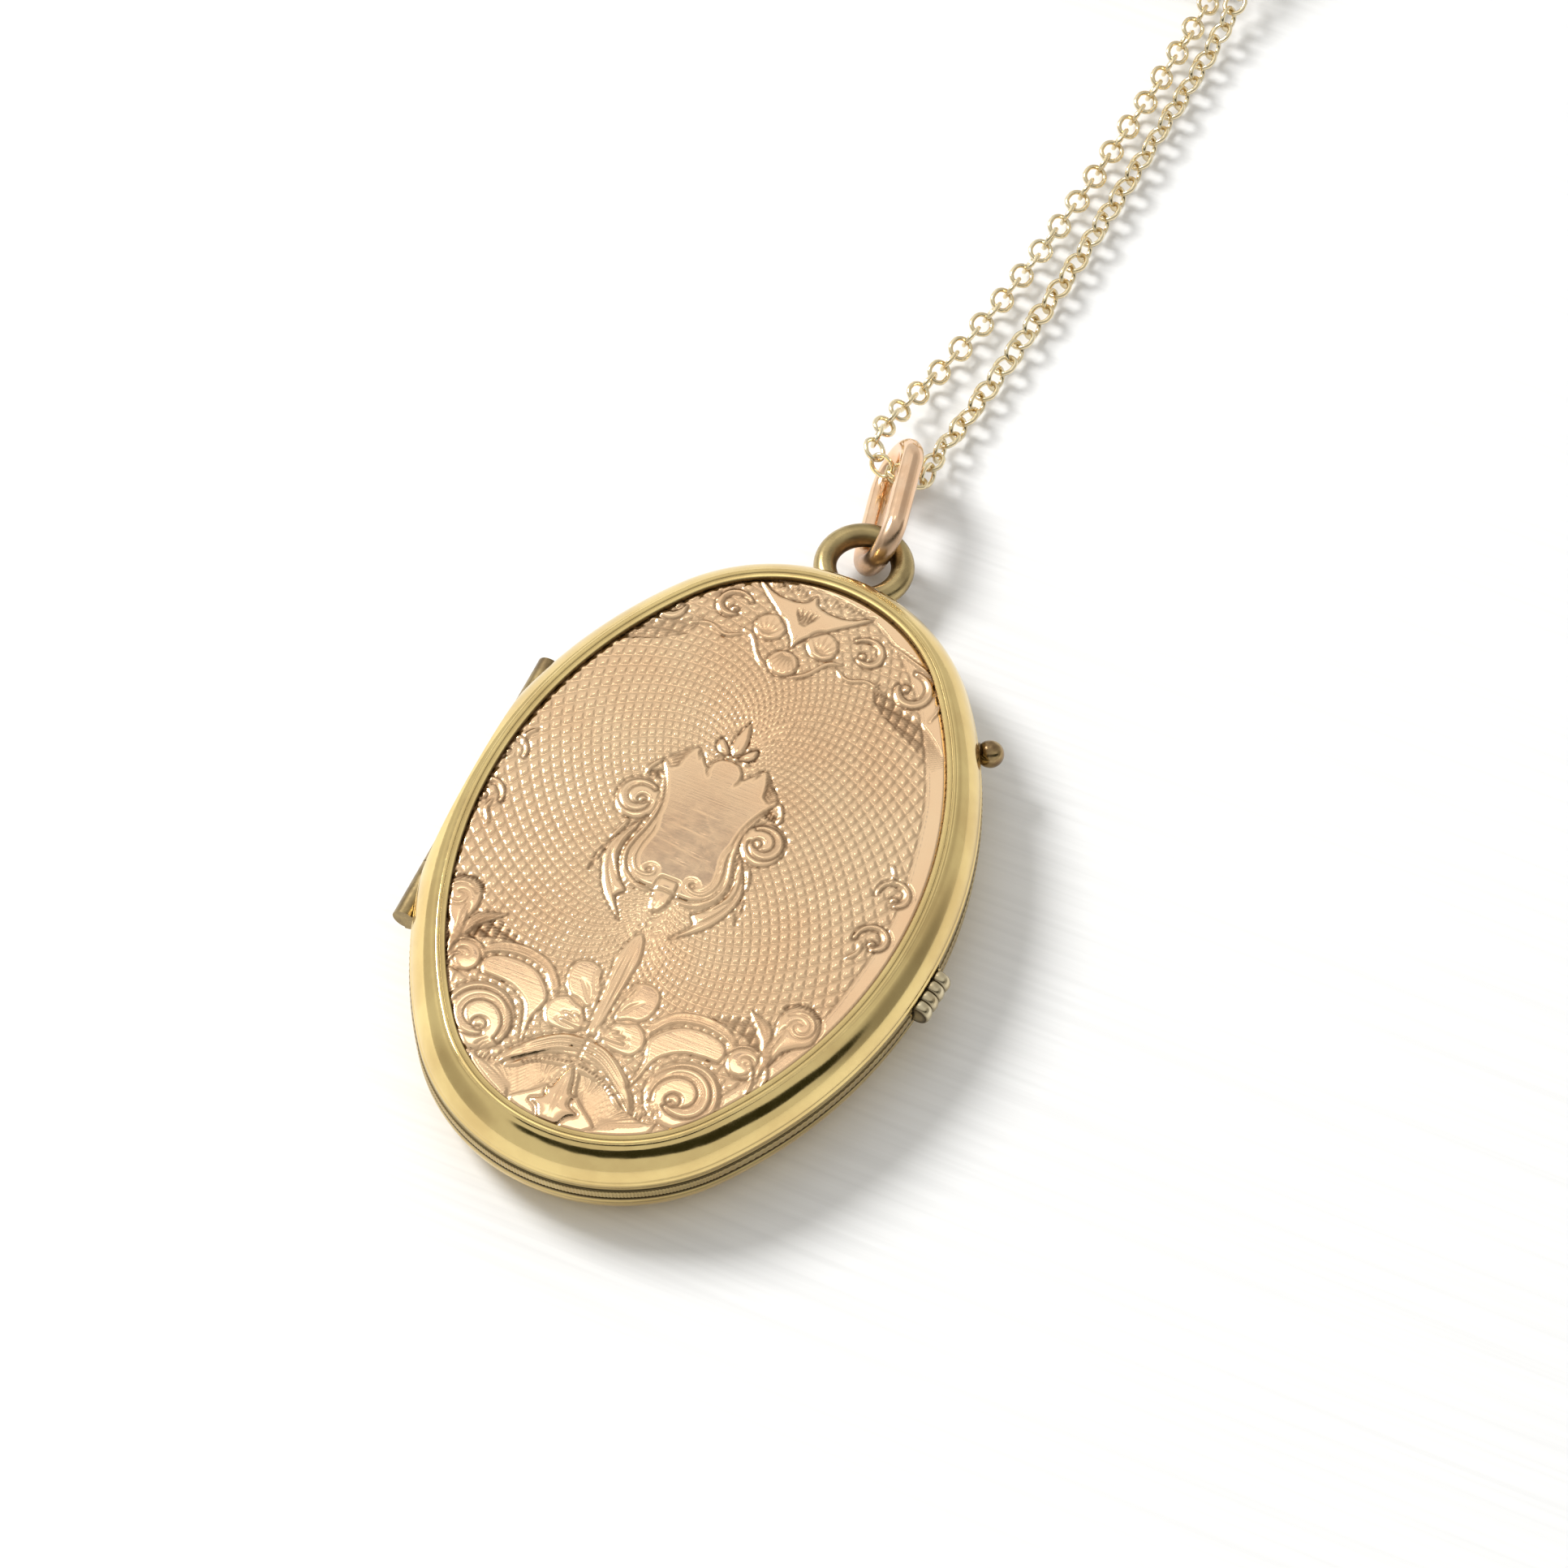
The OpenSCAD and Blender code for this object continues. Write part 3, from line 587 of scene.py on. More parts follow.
def line_distance(px, py, pts):
    best = np.full(len(px), 1e9)
    along = np.zeros(len(px))
    run = 0.0
    lengths = np.linalg.norm(np.diff(pts, axis=0), axis=1)
    total = max(lengths.sum(), 1e-9)
    for (a, b), (c, d), length in zip(pts[:-1], pts[1:], lengths):
        vx, vy = c - a, d - b
        t = unit(((px - a) * vx + (py - b) * vy) / max(vx * vx + vy * vy, 1e-12))
        dist = np.hypot(px - a - t * vx, py - b - t * vy)
        closer = dist < best
        best = np.where(closer, dist, best)
        along = np.where(closer, (run + t * length) / total, along)
        run += length
    return best, along


def spiral(cu, cv, radius, turns, start, way=1, tight=0.12):
    """A scroll line from the outside in, angles in degrees."""
    n = max(12, int(turns * 30))
    k = np.linspace(0, 1, n)
    a = np.radians(start) + way * k * turns * TURN
    r = radius * (1 - k) ** 0.9 + radius * tight * k
    return np.stack([cu + r * np.cos(a), cv + r * np.sin(a)], 1)


def arc(cu, cv, ru, a0, a1, rv=None, n=28):
    a = np.radians(np.linspace(a0, a1, n))
    return np.stack([cu + ru * np.cos(a), cv + (rv or ru) * np.sin(a)], 1)


# least widths that the plate's grid can show, and how much deeper than given the cuts are made
LINE_W, RIDGE_W, LINE_DEEPER, OUTLINE_DEEPER = 0.1, 0.115, 1.2, 1.25


def grow(field, at, values):
    field[at] = np.maximum(field[at], values)


class Relief:
    """A height field that is cut and raised by lines and shapes, in ornament coordinates (u, v)."""

    def __init__(self, u, v):
        self.u, self.v = u.ravel(), v.ravel()
        n = self.u.size
        # the fourth field darkens the colour in the cuts and along the outlines
        self.cut, self.lift, self.mask, self.dirt_and_shade = (np.zeros(n) for _ in range(4))

    def near(self, pts, reach):
        lo, hi = pts.min(0) - reach, pts.max(0) + reach
        return np.nonzero((self.u > lo[0]) & (self.u < hi[0]) & (self.v > lo[1]) & (self.v < hi[1]))[0]

    def line(self, pts, depth=0.05, dirt_and_shade=0.8, taper=(0.35, 0.35), width=LINE_W):
        pts = np.asarray(pts, float)
        at = self.near(pts, width)
        d, along = line_distance(self.u[at], self.v[at], pts)
        size = unit(np.minimum((along + 0.02) / taper[0], (1.02 - along) / taper[1]))
        size = 0.35 + 0.65 * size
        k = unit(1 - d / (width * size)) * size
        grow(self.cut, at, depth * LINE_DEEPER * k)
        grow(self.dirt_and_shade, at, dirt_and_shade * unit(1.6 * k))

    def ridge(self, pts, height=0.05, edge=0.5, width=RIDGE_W):
        pts = np.asarray(pts, float)
        at = self.near(pts, width * 1.5)
        d, along = line_distance(self.u[at], self.v[at], pts)
        size = 0.4 + 0.6 * unit(np.minimum(along, 1 - along) * 6)
        k = np.sqrt(unit(1 - (d / (width * size)) ** 2)) * size
        grow(self.lift, at, height * k)
        grow(self.mask, at, unit((width * size - d) / 0.06 + 0.5))
        rim = np.exp(-((d - width * size) / 0.06) ** 2)
        grow(self.cut, at, (0.03 if edge else 0) * rim)
        grow(self.dirt_and_shade, at, edge * rim)

    def region(self, pts, pillow=0.0, depth=0.055, dirt_and_shade=0.8, raise_by=0.0):
        """A plain polished area in place of the ground, with its outline cut in."""
        pts = np.asarray(pts, float)
        at = self.near(pts, 0.25)
        d, _ = line_distance(self.u[at], self.v[at], np.vstack([pts, pts[:1]]))
        sd = np.where(inside(self.u[at], self.v[at], pts), d, -d)
        m = unit(sd / 0.05 + 0.5)
        grow(self.mask, at, m)
        grow(self.lift, at, m * (raise_by + pillow * (1 - np.exp(-np.clip(sd, 0, 9) / 0.22))))
        k = unit(1 - d / LINE_W)
        grow(self.cut, at, depth * OUTLINE_DEEPER * k)
        grow(self.dirt_and_shade, at, dirt_and_shade * unit(1.6 * k))

    def scroll(self, cu, cv, radius, start=90, way=1, sweep=300, band=0.4):
        """A smooth band that curls inwards to a round eye."""
        t = np.linspace(0, 1, 44)
        a = np.radians(start + way * sweep * t)
        outer = radius * (1 - 0.4 * t)
        inner = outer - band * radius * (0.3 + 0.7 * np.sin(math.pi * (0.1 + 0.7 * t)))
        turn = np.column_stack([np.cos(a), np.sin(a)])
        points = np.vstack([turn * outer[:, None], (turn * inner[:, None])[::-1]]) + [cu, cv]
        self.region(points, pillow=0.05, dirt_and_shade=0.9)
        self.line(turn * (0.35 * outer + 0.65 * inner)[:, None] + [cu, cv], 0.03, 0.4)
        eye = turn[-1] * inner[-1] * 0.75 + [cu, cv]
        self.region(arc(eye[0], eye[1], radius * 0.2, 0, 340), pillow=0.06, dirt_and_shade=0.9)

    def hatch(self, a, b, count, depth=0.045, dirt_and_shade=0.6):
        """Short strokes from points along line a to points along line b."""
        a, b = np.asarray(a, float), np.asarray(b, float)
        for t in np.linspace(0, 1, count):
            i, j = t * (len(a) - 1), t * (len(b) - 1)
            p = a[int(i)] + (a[min(int(i) + 1, len(a) - 1)] - a[int(i)]) * (i % 1)
            q = b[int(j)] + (b[min(int(j) + 1, len(b) - 1)] - b[int(j)]) * (j % 1)
            mid = (p + q) / 2 + 0.04 * np.array([q[1] - p[1], p[0] - q[0]])
            self.line([p, mid, q], depth, dirt_and_shade, (0.1, 0.7))

    def fan(self, cu, cv, r0, r1, a0, a1, count, depth=0.05, dirt_and_shade=0.3):
        for a in np.radians(np.linspace(a0, a1, count)):
            way = np.array([np.cos(a), np.sin(a)])
            self.line(np.array([[cu, cv]]) + np.outer([r0, r1], way), depth, dirt_and_shade, (0.05, 0.8))


def mirrored(points):
    """A half outline and its mirror image, as one outline."""
    return np.vstack([points, (points * [-1, 1])[::-1]])


def engine_turning(x, y, turns=80, throw=4.2):
    """Crossed rose-engine lines cut on an oval chuck: 1 on the pips, 0 in the cuts."""
    x, y = x + 0.43, y - 0.64
    rho = np.maximum(np.hypot(x, y) - throw / 2, 0.4)
    for _ in range(12):
        p = np.maximum(rho, 0.3)
        f = (x / p) ** 2 + (y / (p + throw)) ** 2 - 1
        slope = -2 * x * x / p**3 - 2 * y * y / (p + throw) ** 3
        rho = np.clip(p - f / np.minimum(slope, -1e-4), 0.3, 20)
    phi = np.arctan2(y / (rho + throw), x / rho)
    g = 1.108 * rho + 0.0968 * rho**2 - 0.00535 * rho**3
    family = []
    for sign in (1, -1):
        c = turns * phi / TURN + sign * g
        family.append(1 - 2 * np.abs(c - np.floor(c) - 0.5))
    return np.minimum(*family)


def draw_ornament(r):
    """The engraved cartouche, scrolls and leaves; u is the distance from the ornament's axis."""
    # shield
    shield = curve([(0, 5.1), (0.45, 5), (0.75, 4.65), (0.85, 4.3), (1.2, 4.7), (1.7, 5.2), (2.3, 4.55),
        (2.85, 3.85), (2.6, 3.3), (2.2, 2.4), (2, 1.3), (2.08, 0.3), (2.3, -0.7), (2.35, -1.5),
        (2, -2.3), (1.3, -2.72), (0.6, -2.75), (0, -2.7)], 0.1)
    full = np.vstack([shield, (shield * [-1, 1])[::-1][1:-1]])
    r.region(full, depth=0.06, dirt_and_shade=0.6, raise_by=0.02)
    r.line(arc(0, 4.3, 0.8, 20, -35, 0.8), 0.05, 0.5)
    r.line([(0.8, 4.4), (0.78, 4.1), (0.62, 3.75)], 0.04, 0.4)
    r.hatch([(1.55, 5), (2.2, 4.5), (2.75, 3.95)], [(1.35, 4.45), (1.8, 3.95), (2.3, 3.5)], 2, 0.05)
    for k in range(4):
        r.line([(1.75 + 0.1 * k, 5.05 - 0.22 * k), (2.15, 4.55 - 0.24 * k),
            (2.62 - 0.02 * k, 3.95 - 0.14 * k)], 0.05, 0.8)
    r.ridge(curve([(2.5, 3.1), (2.22, 2.2), (2.08, 1.2), (2.18, 0.2), (2.42, -0.8), (2.45, -1.6),
        (2.1, -2.4), (1.4, -2.84), (0.7, -2.88)]), 0.07, width=0.14)
    r.ridge(curve([(2, 1), (1.9, 0.1), (2.06, -0.9), (2.02, -1.6), (1.7, -2.15), (1.25, -2.3),
        (0.85, -2.1), (0.85, -1.8), (1.1, -1.72), (1.3, -1.9)], 0.1), edge=0.35)
    r.region(arc(1.08, -1.95, 0.12, 0, 340), pillow=0.05)
    drop = curve([(0, -2.05), (0.42, -2.1), (0.5, -2.6), (0.42, -3.2), (0.22, -3.7), (0, -4)], 0.1)
    r.region(mirrored(drop), pillow=0.04, depth=0.05, dirt_and_shade=0.7, raise_by=0.03)
    r.ridge([(0.4, -3.1), (0.25, -3.6), (0.05, -3.95)], 0.08, edge=0)
    r.ridge(curve([(0.55, -2.95), (1.2, -3), (1.9, -2.75), (2.4, -2.3)], 0.1), edge=0.4)
    # side scrolls and the flutes over them
    r.region(arc(3.2, 1.45, 1.05, 0, 350, 1.2), pillow=0.05, depth=0.05, dirt_and_shade=0.7)
    r.scroll(3.2, 1.45, 1.12, 135, -1, 310, 0.42)
    for k in range(4):
        r.line([(2.62 + 0.14 * k, 3.45 - 0.1 * k), (2.66 + 0.16 * k, 2.78)], 0.06, 1, (0.2, 0.2))
    r.ridge(curve([(2.9, 3.85), (3.25, 3.3), (3.35, 2.8)], 0.1), edge=0.7)
    # leaf bands below the scrolls
    band = curve([(2.45, 0.7), (3, -0.3), (3.35, -1.2), (3.35, -2), (3, -3), (2.4, -4),
        (1.25, -4.95), (1.9, -3.9), (1.6, -3.4), (2, -3), (2.55, -2.2), (2.75, -1.2), (2.6, -0.2)])
    r.region(band, pillow=0.04, dirt_and_shade=0.9)
    r.ridge(curve([(2.75, -0.2), (2.95, -1), (2.9, -1.8), (2.5, -2.5), (2.1, -3)]), 0.06, edge=0.4)
    r.line(curve([(3.05, -0.7), (3.15, -1.6), (2.85, -2.6), (2.3, -3.5), (1.6, -4.4)]), 0.04, 0.6)
    r.ridge(curve([(3.1, 0.1), (3.3, -0.5), (3.45, -1.1)], 0.1), edge=0.6)
    r.region([(3.42, -1.3), (3.62, -1.9), (3.65, -3.05), (3.45, -2.2)], pillow=0.03)
    # finial over the shield
    tip = curve([(0, 7.5), (0.2, 7), (0.36, 6.3), (0.3, 5.7), (0, 5.35)], 0.1)
    r.region(mirrored(tip), pillow=0.05, depth=0.06, dirt_and_shade=0.6)
    r.region(curve([(0.25, 5.5), (0.6, 5.95), (0.95, 6.15), (1, 5.7), (0.75, 5.35), (0.3, 5.25)], 0.1,
        True), pillow=0.05, depth=0.06, dirt_and_shade=0.9)
    r.ridge(curve([(0, 5.2), (0.45, 5.3), (0.85, 5.1)], 0.1), 0.06, edge=0.4)
    r.line([(0.85, 6.2), (1, 6.05)], 0.08, 1, (0.05, 0.05), width=0.12)

    # five-lobed leaf
    lobe = curve([(0, -5.1), (0.3, -5.5), (0.55, -6.5), (0.5, -7.6), (0.36, -9), (0.3, -10.2),
        (0.25, -11.1)])
    r.region(mirrored(lobe), pillow=0.03, depth=0.045, dirt_and_shade=0.6)
    r.line([(0.12, -5.6), (0.17, -8), (0.1, -10.6)], 0.035, 0.3)
    r.region(curve([(0.55, -9.6), (0.75, -8.3), (0.85, -7.75), (1.5, -7.5), (2.1, -7.75), (2.25, -8.4),
        (2.05, -9.2), (1.4, -9.75), (0.85, -9.9)], 0.1, True), depth=0.045, dirt_and_shade=0.6)
    r.ridge([(0.45, -9.8), (0.62, -8.8), (0.95, -7.9)], 0.04, edge=0.3)
    r.line([(0.7, -9.6), (1.15, -8.9), (1.5, -8.55)], 0.03, 0.2)
    r.region(curve([(0.5, -10.9), (0.8, -10), (1.5, -9.6), (2.2, -9.9), (2.45, -10.6), (2.1, -11.3),
        (1.3, -11.4), (0.8, -11.3)], 0.1, True), depth=0.045, dirt_and_shade=0.6)
    for a, length in ((95, 0.5), (62, 0.75), (40, 1), (22, 1.25), (4, 1.3)):
        a = math.radians(a)
        r.ridge([(0.35, -10.95), (0.35 + length * math.cos(a), -10.95 + length * math.sin(a) * 0.9)], 0.06,
            edge=0.2)
    # smooth crescents with contour lines
    crescent = curve([(2.5, -10.1), (3.3, -9.1), (4.3, -8.75), (5.4, -8.85), (6, -9.3), (5.9, -10),
        (5.2, -10.05), (4.2, -10.2), (3.3, -10.9), (2.95, -12.2), (2.7, -12.9), (2.75, -11.4)], 0.12, True)
    r.region(crescent, depth=0.05, dirt_and_shade=0.6)
    for k in range(3):
        e = 0.17 * k
        r.ridge(curve([(2.3 - 0.4 * e, -9.9 + e), (3.1, -8.85 + e), (4.3, -8.45 + e), (5.5, -8.6 + e),
            (6.3, -9.1 + e)]), 0.045)
    # big scrolls
    r.region(arc(5.1, -12.2, 1.75, 0, 354, 1.85), pillow=0.06, depth=0.05, dirt_and_shade=0.5)
    r.scroll(5.1, -12.25, 1.72, 215, -1, 340, 0.36)
    r.ridge(arc(5.1, -12.2, 1.5, -60, 190, 1.58, n=44))
    # small scrolls
    r.region(arc(6.95, -9.6, 0.8, 0, 350), pillow=0.02, depth=0.05, dirt_and_shade=0.7)
    r.ridge(curve([(6.1, -9.3), (6.5, -8.85), (7.1, -8.75), (7.8, -9.1), (8.2, -9.9), (8.15, -10.9)], 0.1))
    r.ridge(curve([(7.1, -9.6), (7.4, -9.7), (7.65, -10.2), (7.7, -11.2)], 0.1), 0.06)
    r.line(spiral(6.95, -9.6, 0.7, 0.9, 250, 1), 0.04, 0.7)
    # tall scrolls
    r.region(curve([(7.7, -10.2), (7.55, -9), (7.6, -7.8), (7.45, -6.8), (7.7, -5.95), (8.3, -5.55),
        (9, -5.8), (9.4, -6.5), (9.3, -7.4), (8.7, -7.9), (8.25, -8.4), (8, -9.4)], 0.12, True),
        pillow=0.05, depth=0.05, dirt_and_shade=0.6)
    r.ridge(spiral(8.5, -6.75, 0.8, 1.2, 150, -1, 0.2), 0.06)
    r.hatch(arc(8.35, -6.6, 1.08, 40, 150, 1.12), arc(8.35, -6.6, 0.72, 40, 150, 0.75), 15, 0.06, 0.9)
    r.ridge(curve([(7.85, -10.3), (7.75, -9), (7.8, -7.9), (7.95, -7.1)], 0.1))
    # leaf tufts between the scrolls
    for k in range(7):
        e = 0.14 * k
        r.line(curve([(4.3 + 0.28 * k, -7.95 + 0.1 * k), (5.6 + e, -8 + e),
            (6.6 + 0.6 * e, -8.3 + e * 0.6), (7.35, -9)], 0.14), 0.05, 0.75)
    for k in range(4):
        r.ridge(curve([(6.1 + 0.3 * k, -6.8 - 0.08 * k), (6.9 + 0.16 * k, -7.6), (7.5 + 0.1 * k, -8.5),
            (7.9 + 0.05 * k, -9.6)]), 0.045, edge=0.6)

    # arc band, fan and palmette at the foot
    arch = np.vstack([curve([(0, -11.25), (1.2, -11.5), (2.4, -12.3), (3.2, -13.3), (3.5, -14.05)]),
        curve([(3.2, -14.05), (2.4, -13.35), (1.2, -12.6), (0, -12.35)])])
    r.region(arch, depth=0.06, dirt_and_shade=0.5)
    for k, w in ((0, 0.13), (1, 0.12), (2, 0.1)):
        e = 0.27 * k
        r.ridge(curve([(0, -11.45 - e), (1.1, -11.7 - e), (2.2, -12.5 - e * 0.9), (2.95, -13.4 - e * 0.4),
            (3.25, -14)]), 0.08, edge=0.3, width=w + 0.02)
    fan = curve([(0, -12.55), (1.2, -12.75), (2.2, -13.3), (3.1, -14.1), (4.2, -14.2), (4.6, -13.9),
        (4.4, -14.8), (3, -15.6), (1.2, -16.1), (0, -16.3)], 0.14)
    r.region(mirrored(fan), depth=0.05, dirt_and_shade=0.4)
    for k in range(17):
        t = k / 16
        r.line(curve([(0.35 + 0.25 * t, -13 - 0.9 * t), (1.2 + 0.5 * (1 - t), -13.3 - 1.25 * t),
            (2.7 - 0.6 * t, -14.05 - 1.3 * t), (4.1 - 2.4 * t, -14.35 - 1.4 * t)], 0.14), 0.09, 0.3,
            (0.05, 0.2))
    r.hatch(curve([(3.3, -14.15), (4, -14.3), (4.6, -13.7)], 0.1), curve([(3.2, -13.4), (3.9, -13.5),
        (4.2, -13.1)], 0.1), 8, 0.06, 0.5)
    r.hatch(curve([(0.2, -12.6), (1.3, -12.85), (2.3, -13.45)], 0.1), curve([(0.25, -12.78), (1.2, -13.1),
        (2.1, -13.7)], 0.1), 12, 0.07, 1)
    palm = curve([(0, -12.7), (0.28, -13.4), (0.5, -14.2), (0.75, -14.1), (0.62, -14.75), (1.15, -15.1),
        (0.75, -15.4), (0.45, -15.95), (0, -16)], 0.08)
    r.region(mirrored(palm), pillow=0.08, depth=0.07, dirt_and_shade=0.5, raise_by=0.05)
    r.line([(0, -12.9), (0, -15.7)], 0.03, 0.2)

    # top motif
    top = curve([(0, 11.9), (0.3, 12.6), (0.85, 13.2), (1.6, 13.85), (2.4, 14.5), (3.05, 15.15),
        (2.6, 15.05), (2.15, 14.78), (1.5, 14.62), (0.8, 14.66), (0.3, 14.85), (0.12, 15.25), (0, 15.35)])
    r.region(mirrored(top), pillow=0.03, depth=0.06, dirt_and_shade=0.9)
    for off, height in ((0, 14.35), (0.3, 14.4), (0.58, 14.3)):
        r.line([(off, height), (off * 0.55, 13.85), (off * 0.2, 13.4)], 0.06, 1, (0.4, 0.6), width=0.13)
    r.hatch([(0.5, 15.5), (2.6, 15.4)], [(0.5, 14.95), (2.3, 15)], 9, 0.04, 0.5)
    r.region(arc(1.35, 12.75, 0.8, 0, 350), pillow=0.03, depth=0.05, dirt_and_shade=0.7)
    r.fan(1.35, 12.2, 0.1, 1.2, 30, 130, 6, 0.04, 0.5)
    r.region(arc(0, 11.05, 0.75, 0, 350), pillow=0.05, depth=0.05, dirt_and_shade=0.7)
    r.fan(0, 11.8, 0.25, 1.3, -125, -55, 6, 0.04, 0.5)
    r.ridge(curve([(0.5, 10.4), (1.2, 10.9), (1.9, 11.9), (2.6, 12.2)]))
    r.scroll(3.5, 13.2, 1.05, 150, -1, 290)
    r.scroll(6.1, 12.1, 1.25, 100, -1, 300)
    r.ridge(curve([(4.2, 14.2), (5.4, 13.8), (6.9, 13.2), (7.7, 12), (7.6, 10.9)]))
    for k in range(7):
        e = 0.2 * k
        r.line(curve([(4.4 + 0.12 * k, 12.2 - 0.1 * k), (4.75 + e, 11), (6 + e, 10.1 + 0.4 * e),
            (7.4 + 0.6 * e, 9.4 + 0.5 * e), (8.7 + 0.1 * k, 8.5 + 0.4 * e)], 0.14), 0.05, 0.7, (0.2, 0.3))
    r.ridge(curve([(2.3, 11.9), (3.1, 11.5), (4, 11.8), (4.9, 11.5)]))

    # C-scrolls at the sides
    for cv in (1.5, -1.1):
        r.scroll(9.8, cv, 1, 200, -1, 290)
    r.ridge(curve([(9, 3), (9.35, 2.5), (9.3, 1.8)], 0.1))
    r.ridge(curve([(9, -2.6), (9.4, -2), (9.3, -1.4)], 0.1))


def draw_back(r):
    """A plainer cartouche for the back."""
    r.region(arc(0, 0, 3.6, 0, 359, 4.6, n=90), depth=0.06, dirt_and_shade=0.6, raise_by=0.01)
    r.ridge(arc(0, 0, 3.9, -90, 270, 4.9, n=90), 0.06, width=0.13)
    for v in (5.4, -5.4):
        s = 1 if v > 0 else -1
        tip = curve([(0, v + s * 2.2), (0.4, v + s * 1.2), (0.7, v + s * 0.4), (0, v - s * 0.2)], 0.1)
        r.region(mirrored(tip), pillow=0.05, dirt_and_shade=0.7)
        r.scroll(1.7, v + s * 0.2, 0.85, 90 * s, -s)
        r.scroll(3.6, v - s * 0.9, 0.7, 90 * s, -s)


def engraved_plate(name, node, z_edge, thick, crown, draw, body, flip=False, step=0.075, seed=3):
    """The plate as a fine height field closed to a slab."""
    rng = np.random.default_rng(seed)
    nx, ny = int(2 * (SIDE_R - SIDE_C) / step) + 1, int(2 * (END_R + END_C) / step) + 1
    xs = np.linspace(-(SIDE_R - SIDE_C), SIDE_R - SIDE_C, nx)
    ys = np.linspace(-(END_R + END_C), END_R + END_C, ny)
    x, y = np.meshgrid(xs, ys)
    d = oval_distance(x, y)
    keep = d <= step * 0.9
    # points just outside the edge are drawn in to it
    gx, gy = np.gradient(d, xs, axis=1), np.gradient(d, ys, axis=0)
    over = np.maximum(d, 0)
    x, y = x - over * gx, y - over * gy
    wx = 0.05 * np.sin(0.9 * y + 1.3) * np.sin(0.5 * x + 0.4)
    wy = 0.05 * np.sin(0.8 * x - 0.6) * np.sin(0.6 * y + 1.1)
    v = y + wy
    u_signed = x + 0.52 + 0.022 * v + wx
    relief = Relief(np.abs(u_signed), v)
    draw(relief)
    marks = Relief(u_signed, v)
    for _ in range(24):
        mid, lean = rng.uniform((-9, -14), (9, 14)), rng.normal(-0.2, 0.5)
        run = rng.uniform(0.4, 2.2) * np.array([math.cos(lean), math.sin(lean)])
        marks.line([mid - run, mid, mid + run], rng.uniform(0.001, 0.002), 0.0)
    for v_mark, rise, reach in ((-0.35, -0.5, 1.7), (-1.05, -0.15, 0.7), (0.75, -0.2, 1.2), (1.9, -0.1, 0.8)):
        marks.line([(-reach, v_mark - rise / 2), (reach, v_mark + rise / 2)], 0.0022, 0.0)
    relief.cut = np.maximum(relief.cut, marks.cut)
    cut, lift, mask, dirt_and_shade = (a.reshape(x.shape) for a in (relief.cut, relief.lift, relief.mask, relief.dirt_and_shade))
    pip = engine_turning(x, y)
    pip_h = unit(pip * 1.7) ** 0.8
    edge = oval_distance(u_signed, v)
    inset, blend, depth = 0.35, 0.05, 0.06
    field = unit((-inset - edge) / blend)
    border = np.exp(-((edge + inset) / blend) ** 2)
    height = -depth * (1 - pip_h) * (1 - mask) * field - depth * 0.4 * (1 - mask) * (1 - field)
    height = height + lift - cut - 0.04 * border * (1 - mask)
    sway = 0.006 * np.sin(0.35 * x + 0.7) * np.sin(0.28 * y + 0.3) + 0.003 * np.sin(0.9 * x + 0.5 * y)
    dome = crown * (1 - unit((x / 10.5) ** 2 + (y / 16) ** 2))
    z = z_edge - crown + dome + height + sway * (1 - unit((d + 0.8) / 0.8))
    z = np.minimum(z, z_edge + 0.055)
    # darker in the engraved cuts, along the outlines, in the guilloché grooves and in the border groove
    dirt_and_shade_level = unit(dirt_and_shade + (1 - mask) * field * 0.55 * unit(1 - pip * 3.2) + 0.6 * border * (1 - mask))
    dirt_and_shade_level *= unit(0.75 + 0.25 * np.sin(0.31 * x + 1) * np.sin(0.23 * y))
    # darker and 0.05 mm lower along the plate's edge, where it meets the rim's lip
    brink = unit((d + 0.14) / 0.1)
    dirt_and_shade_level, z = np.maximum(dirt_and_shade_level, 0.9 * brink), z - 0.05 * brink
    if flip:
        x = -x

    index = -np.ones(keep.shape, int)
    cell = keep[:-1, :-1] & keep[1:, :-1] & keep[1:, 1:] & keep[:-1, 1:]
    used = np.zeros(keep.shape, bool)
    for a in (slice(0, -1), slice(1, None)):
        for b in (slice(0, -1), slice(1, None)):
            used[a, b] |= cell
    index[used] = np.arange(used.sum())
    i, j = np.nonzero(cell)
    quads = np.stack([index[i, j], index[i, j + 1], index[i + 1, j + 1], index[i + 1, j]], -1)
    top = np.stack([x[used], y[used], z[used]], 1)
    dirt_and_shade_level = dirt_and_shade_level[used]
    # boundary edges, followed round
    edges = np.vstack([quads[:, [0, 1]], quads[:, [1, 2]], quads[:, [2, 3]], quads[:, [3, 0]]])
    key = {(int(a), int(b)) for a, b in edges}
    follow = {a: b for a, b in key if (b, a) not in key}
    first = next(iter(follow))
    loop = [first]
    while follow[loop[-1]] != first:
        loop.append(follow[loop[-1]])
    n = len(top)
    low = top[loop].copy()
    low[:, 2] = z_edge - thick
    middle = np.array([[0, 0, z_edge - thick]])
    points = np.vstack([top, low, middle])
    faces = quads.tolist()
    m = len(loop)
    for k in range(m):
        a, b = loop[k], loop[(k + 1) % m]
        faces.append([b, a, n + k, n + (k + 1) % m])
        faces.append([n + (k + 1) % m, n + k, n + m])
    dirt_and_shade_level = np.concatenate([dirt_and_shade_level, np.full(m + 1, 0.2)])
    if flip:
        points[:, 2] = z_edge - points[:, 2]
    build(name, points, faces, ROSE, body, dirt_and_shade_level, 75, (node,))


engraved_plate("engraved_front_plate", "front_plate", PLATE_Z, PLATE_T, 0.11, draw_ornament, "front_cover",
               step=0.075)
engraved_plate("engraved_back_plate", "back_plate", 0.0, PLATE_T, 0.05, draw_back, "back_case",
               flip=True, step=0.1, seed=4)


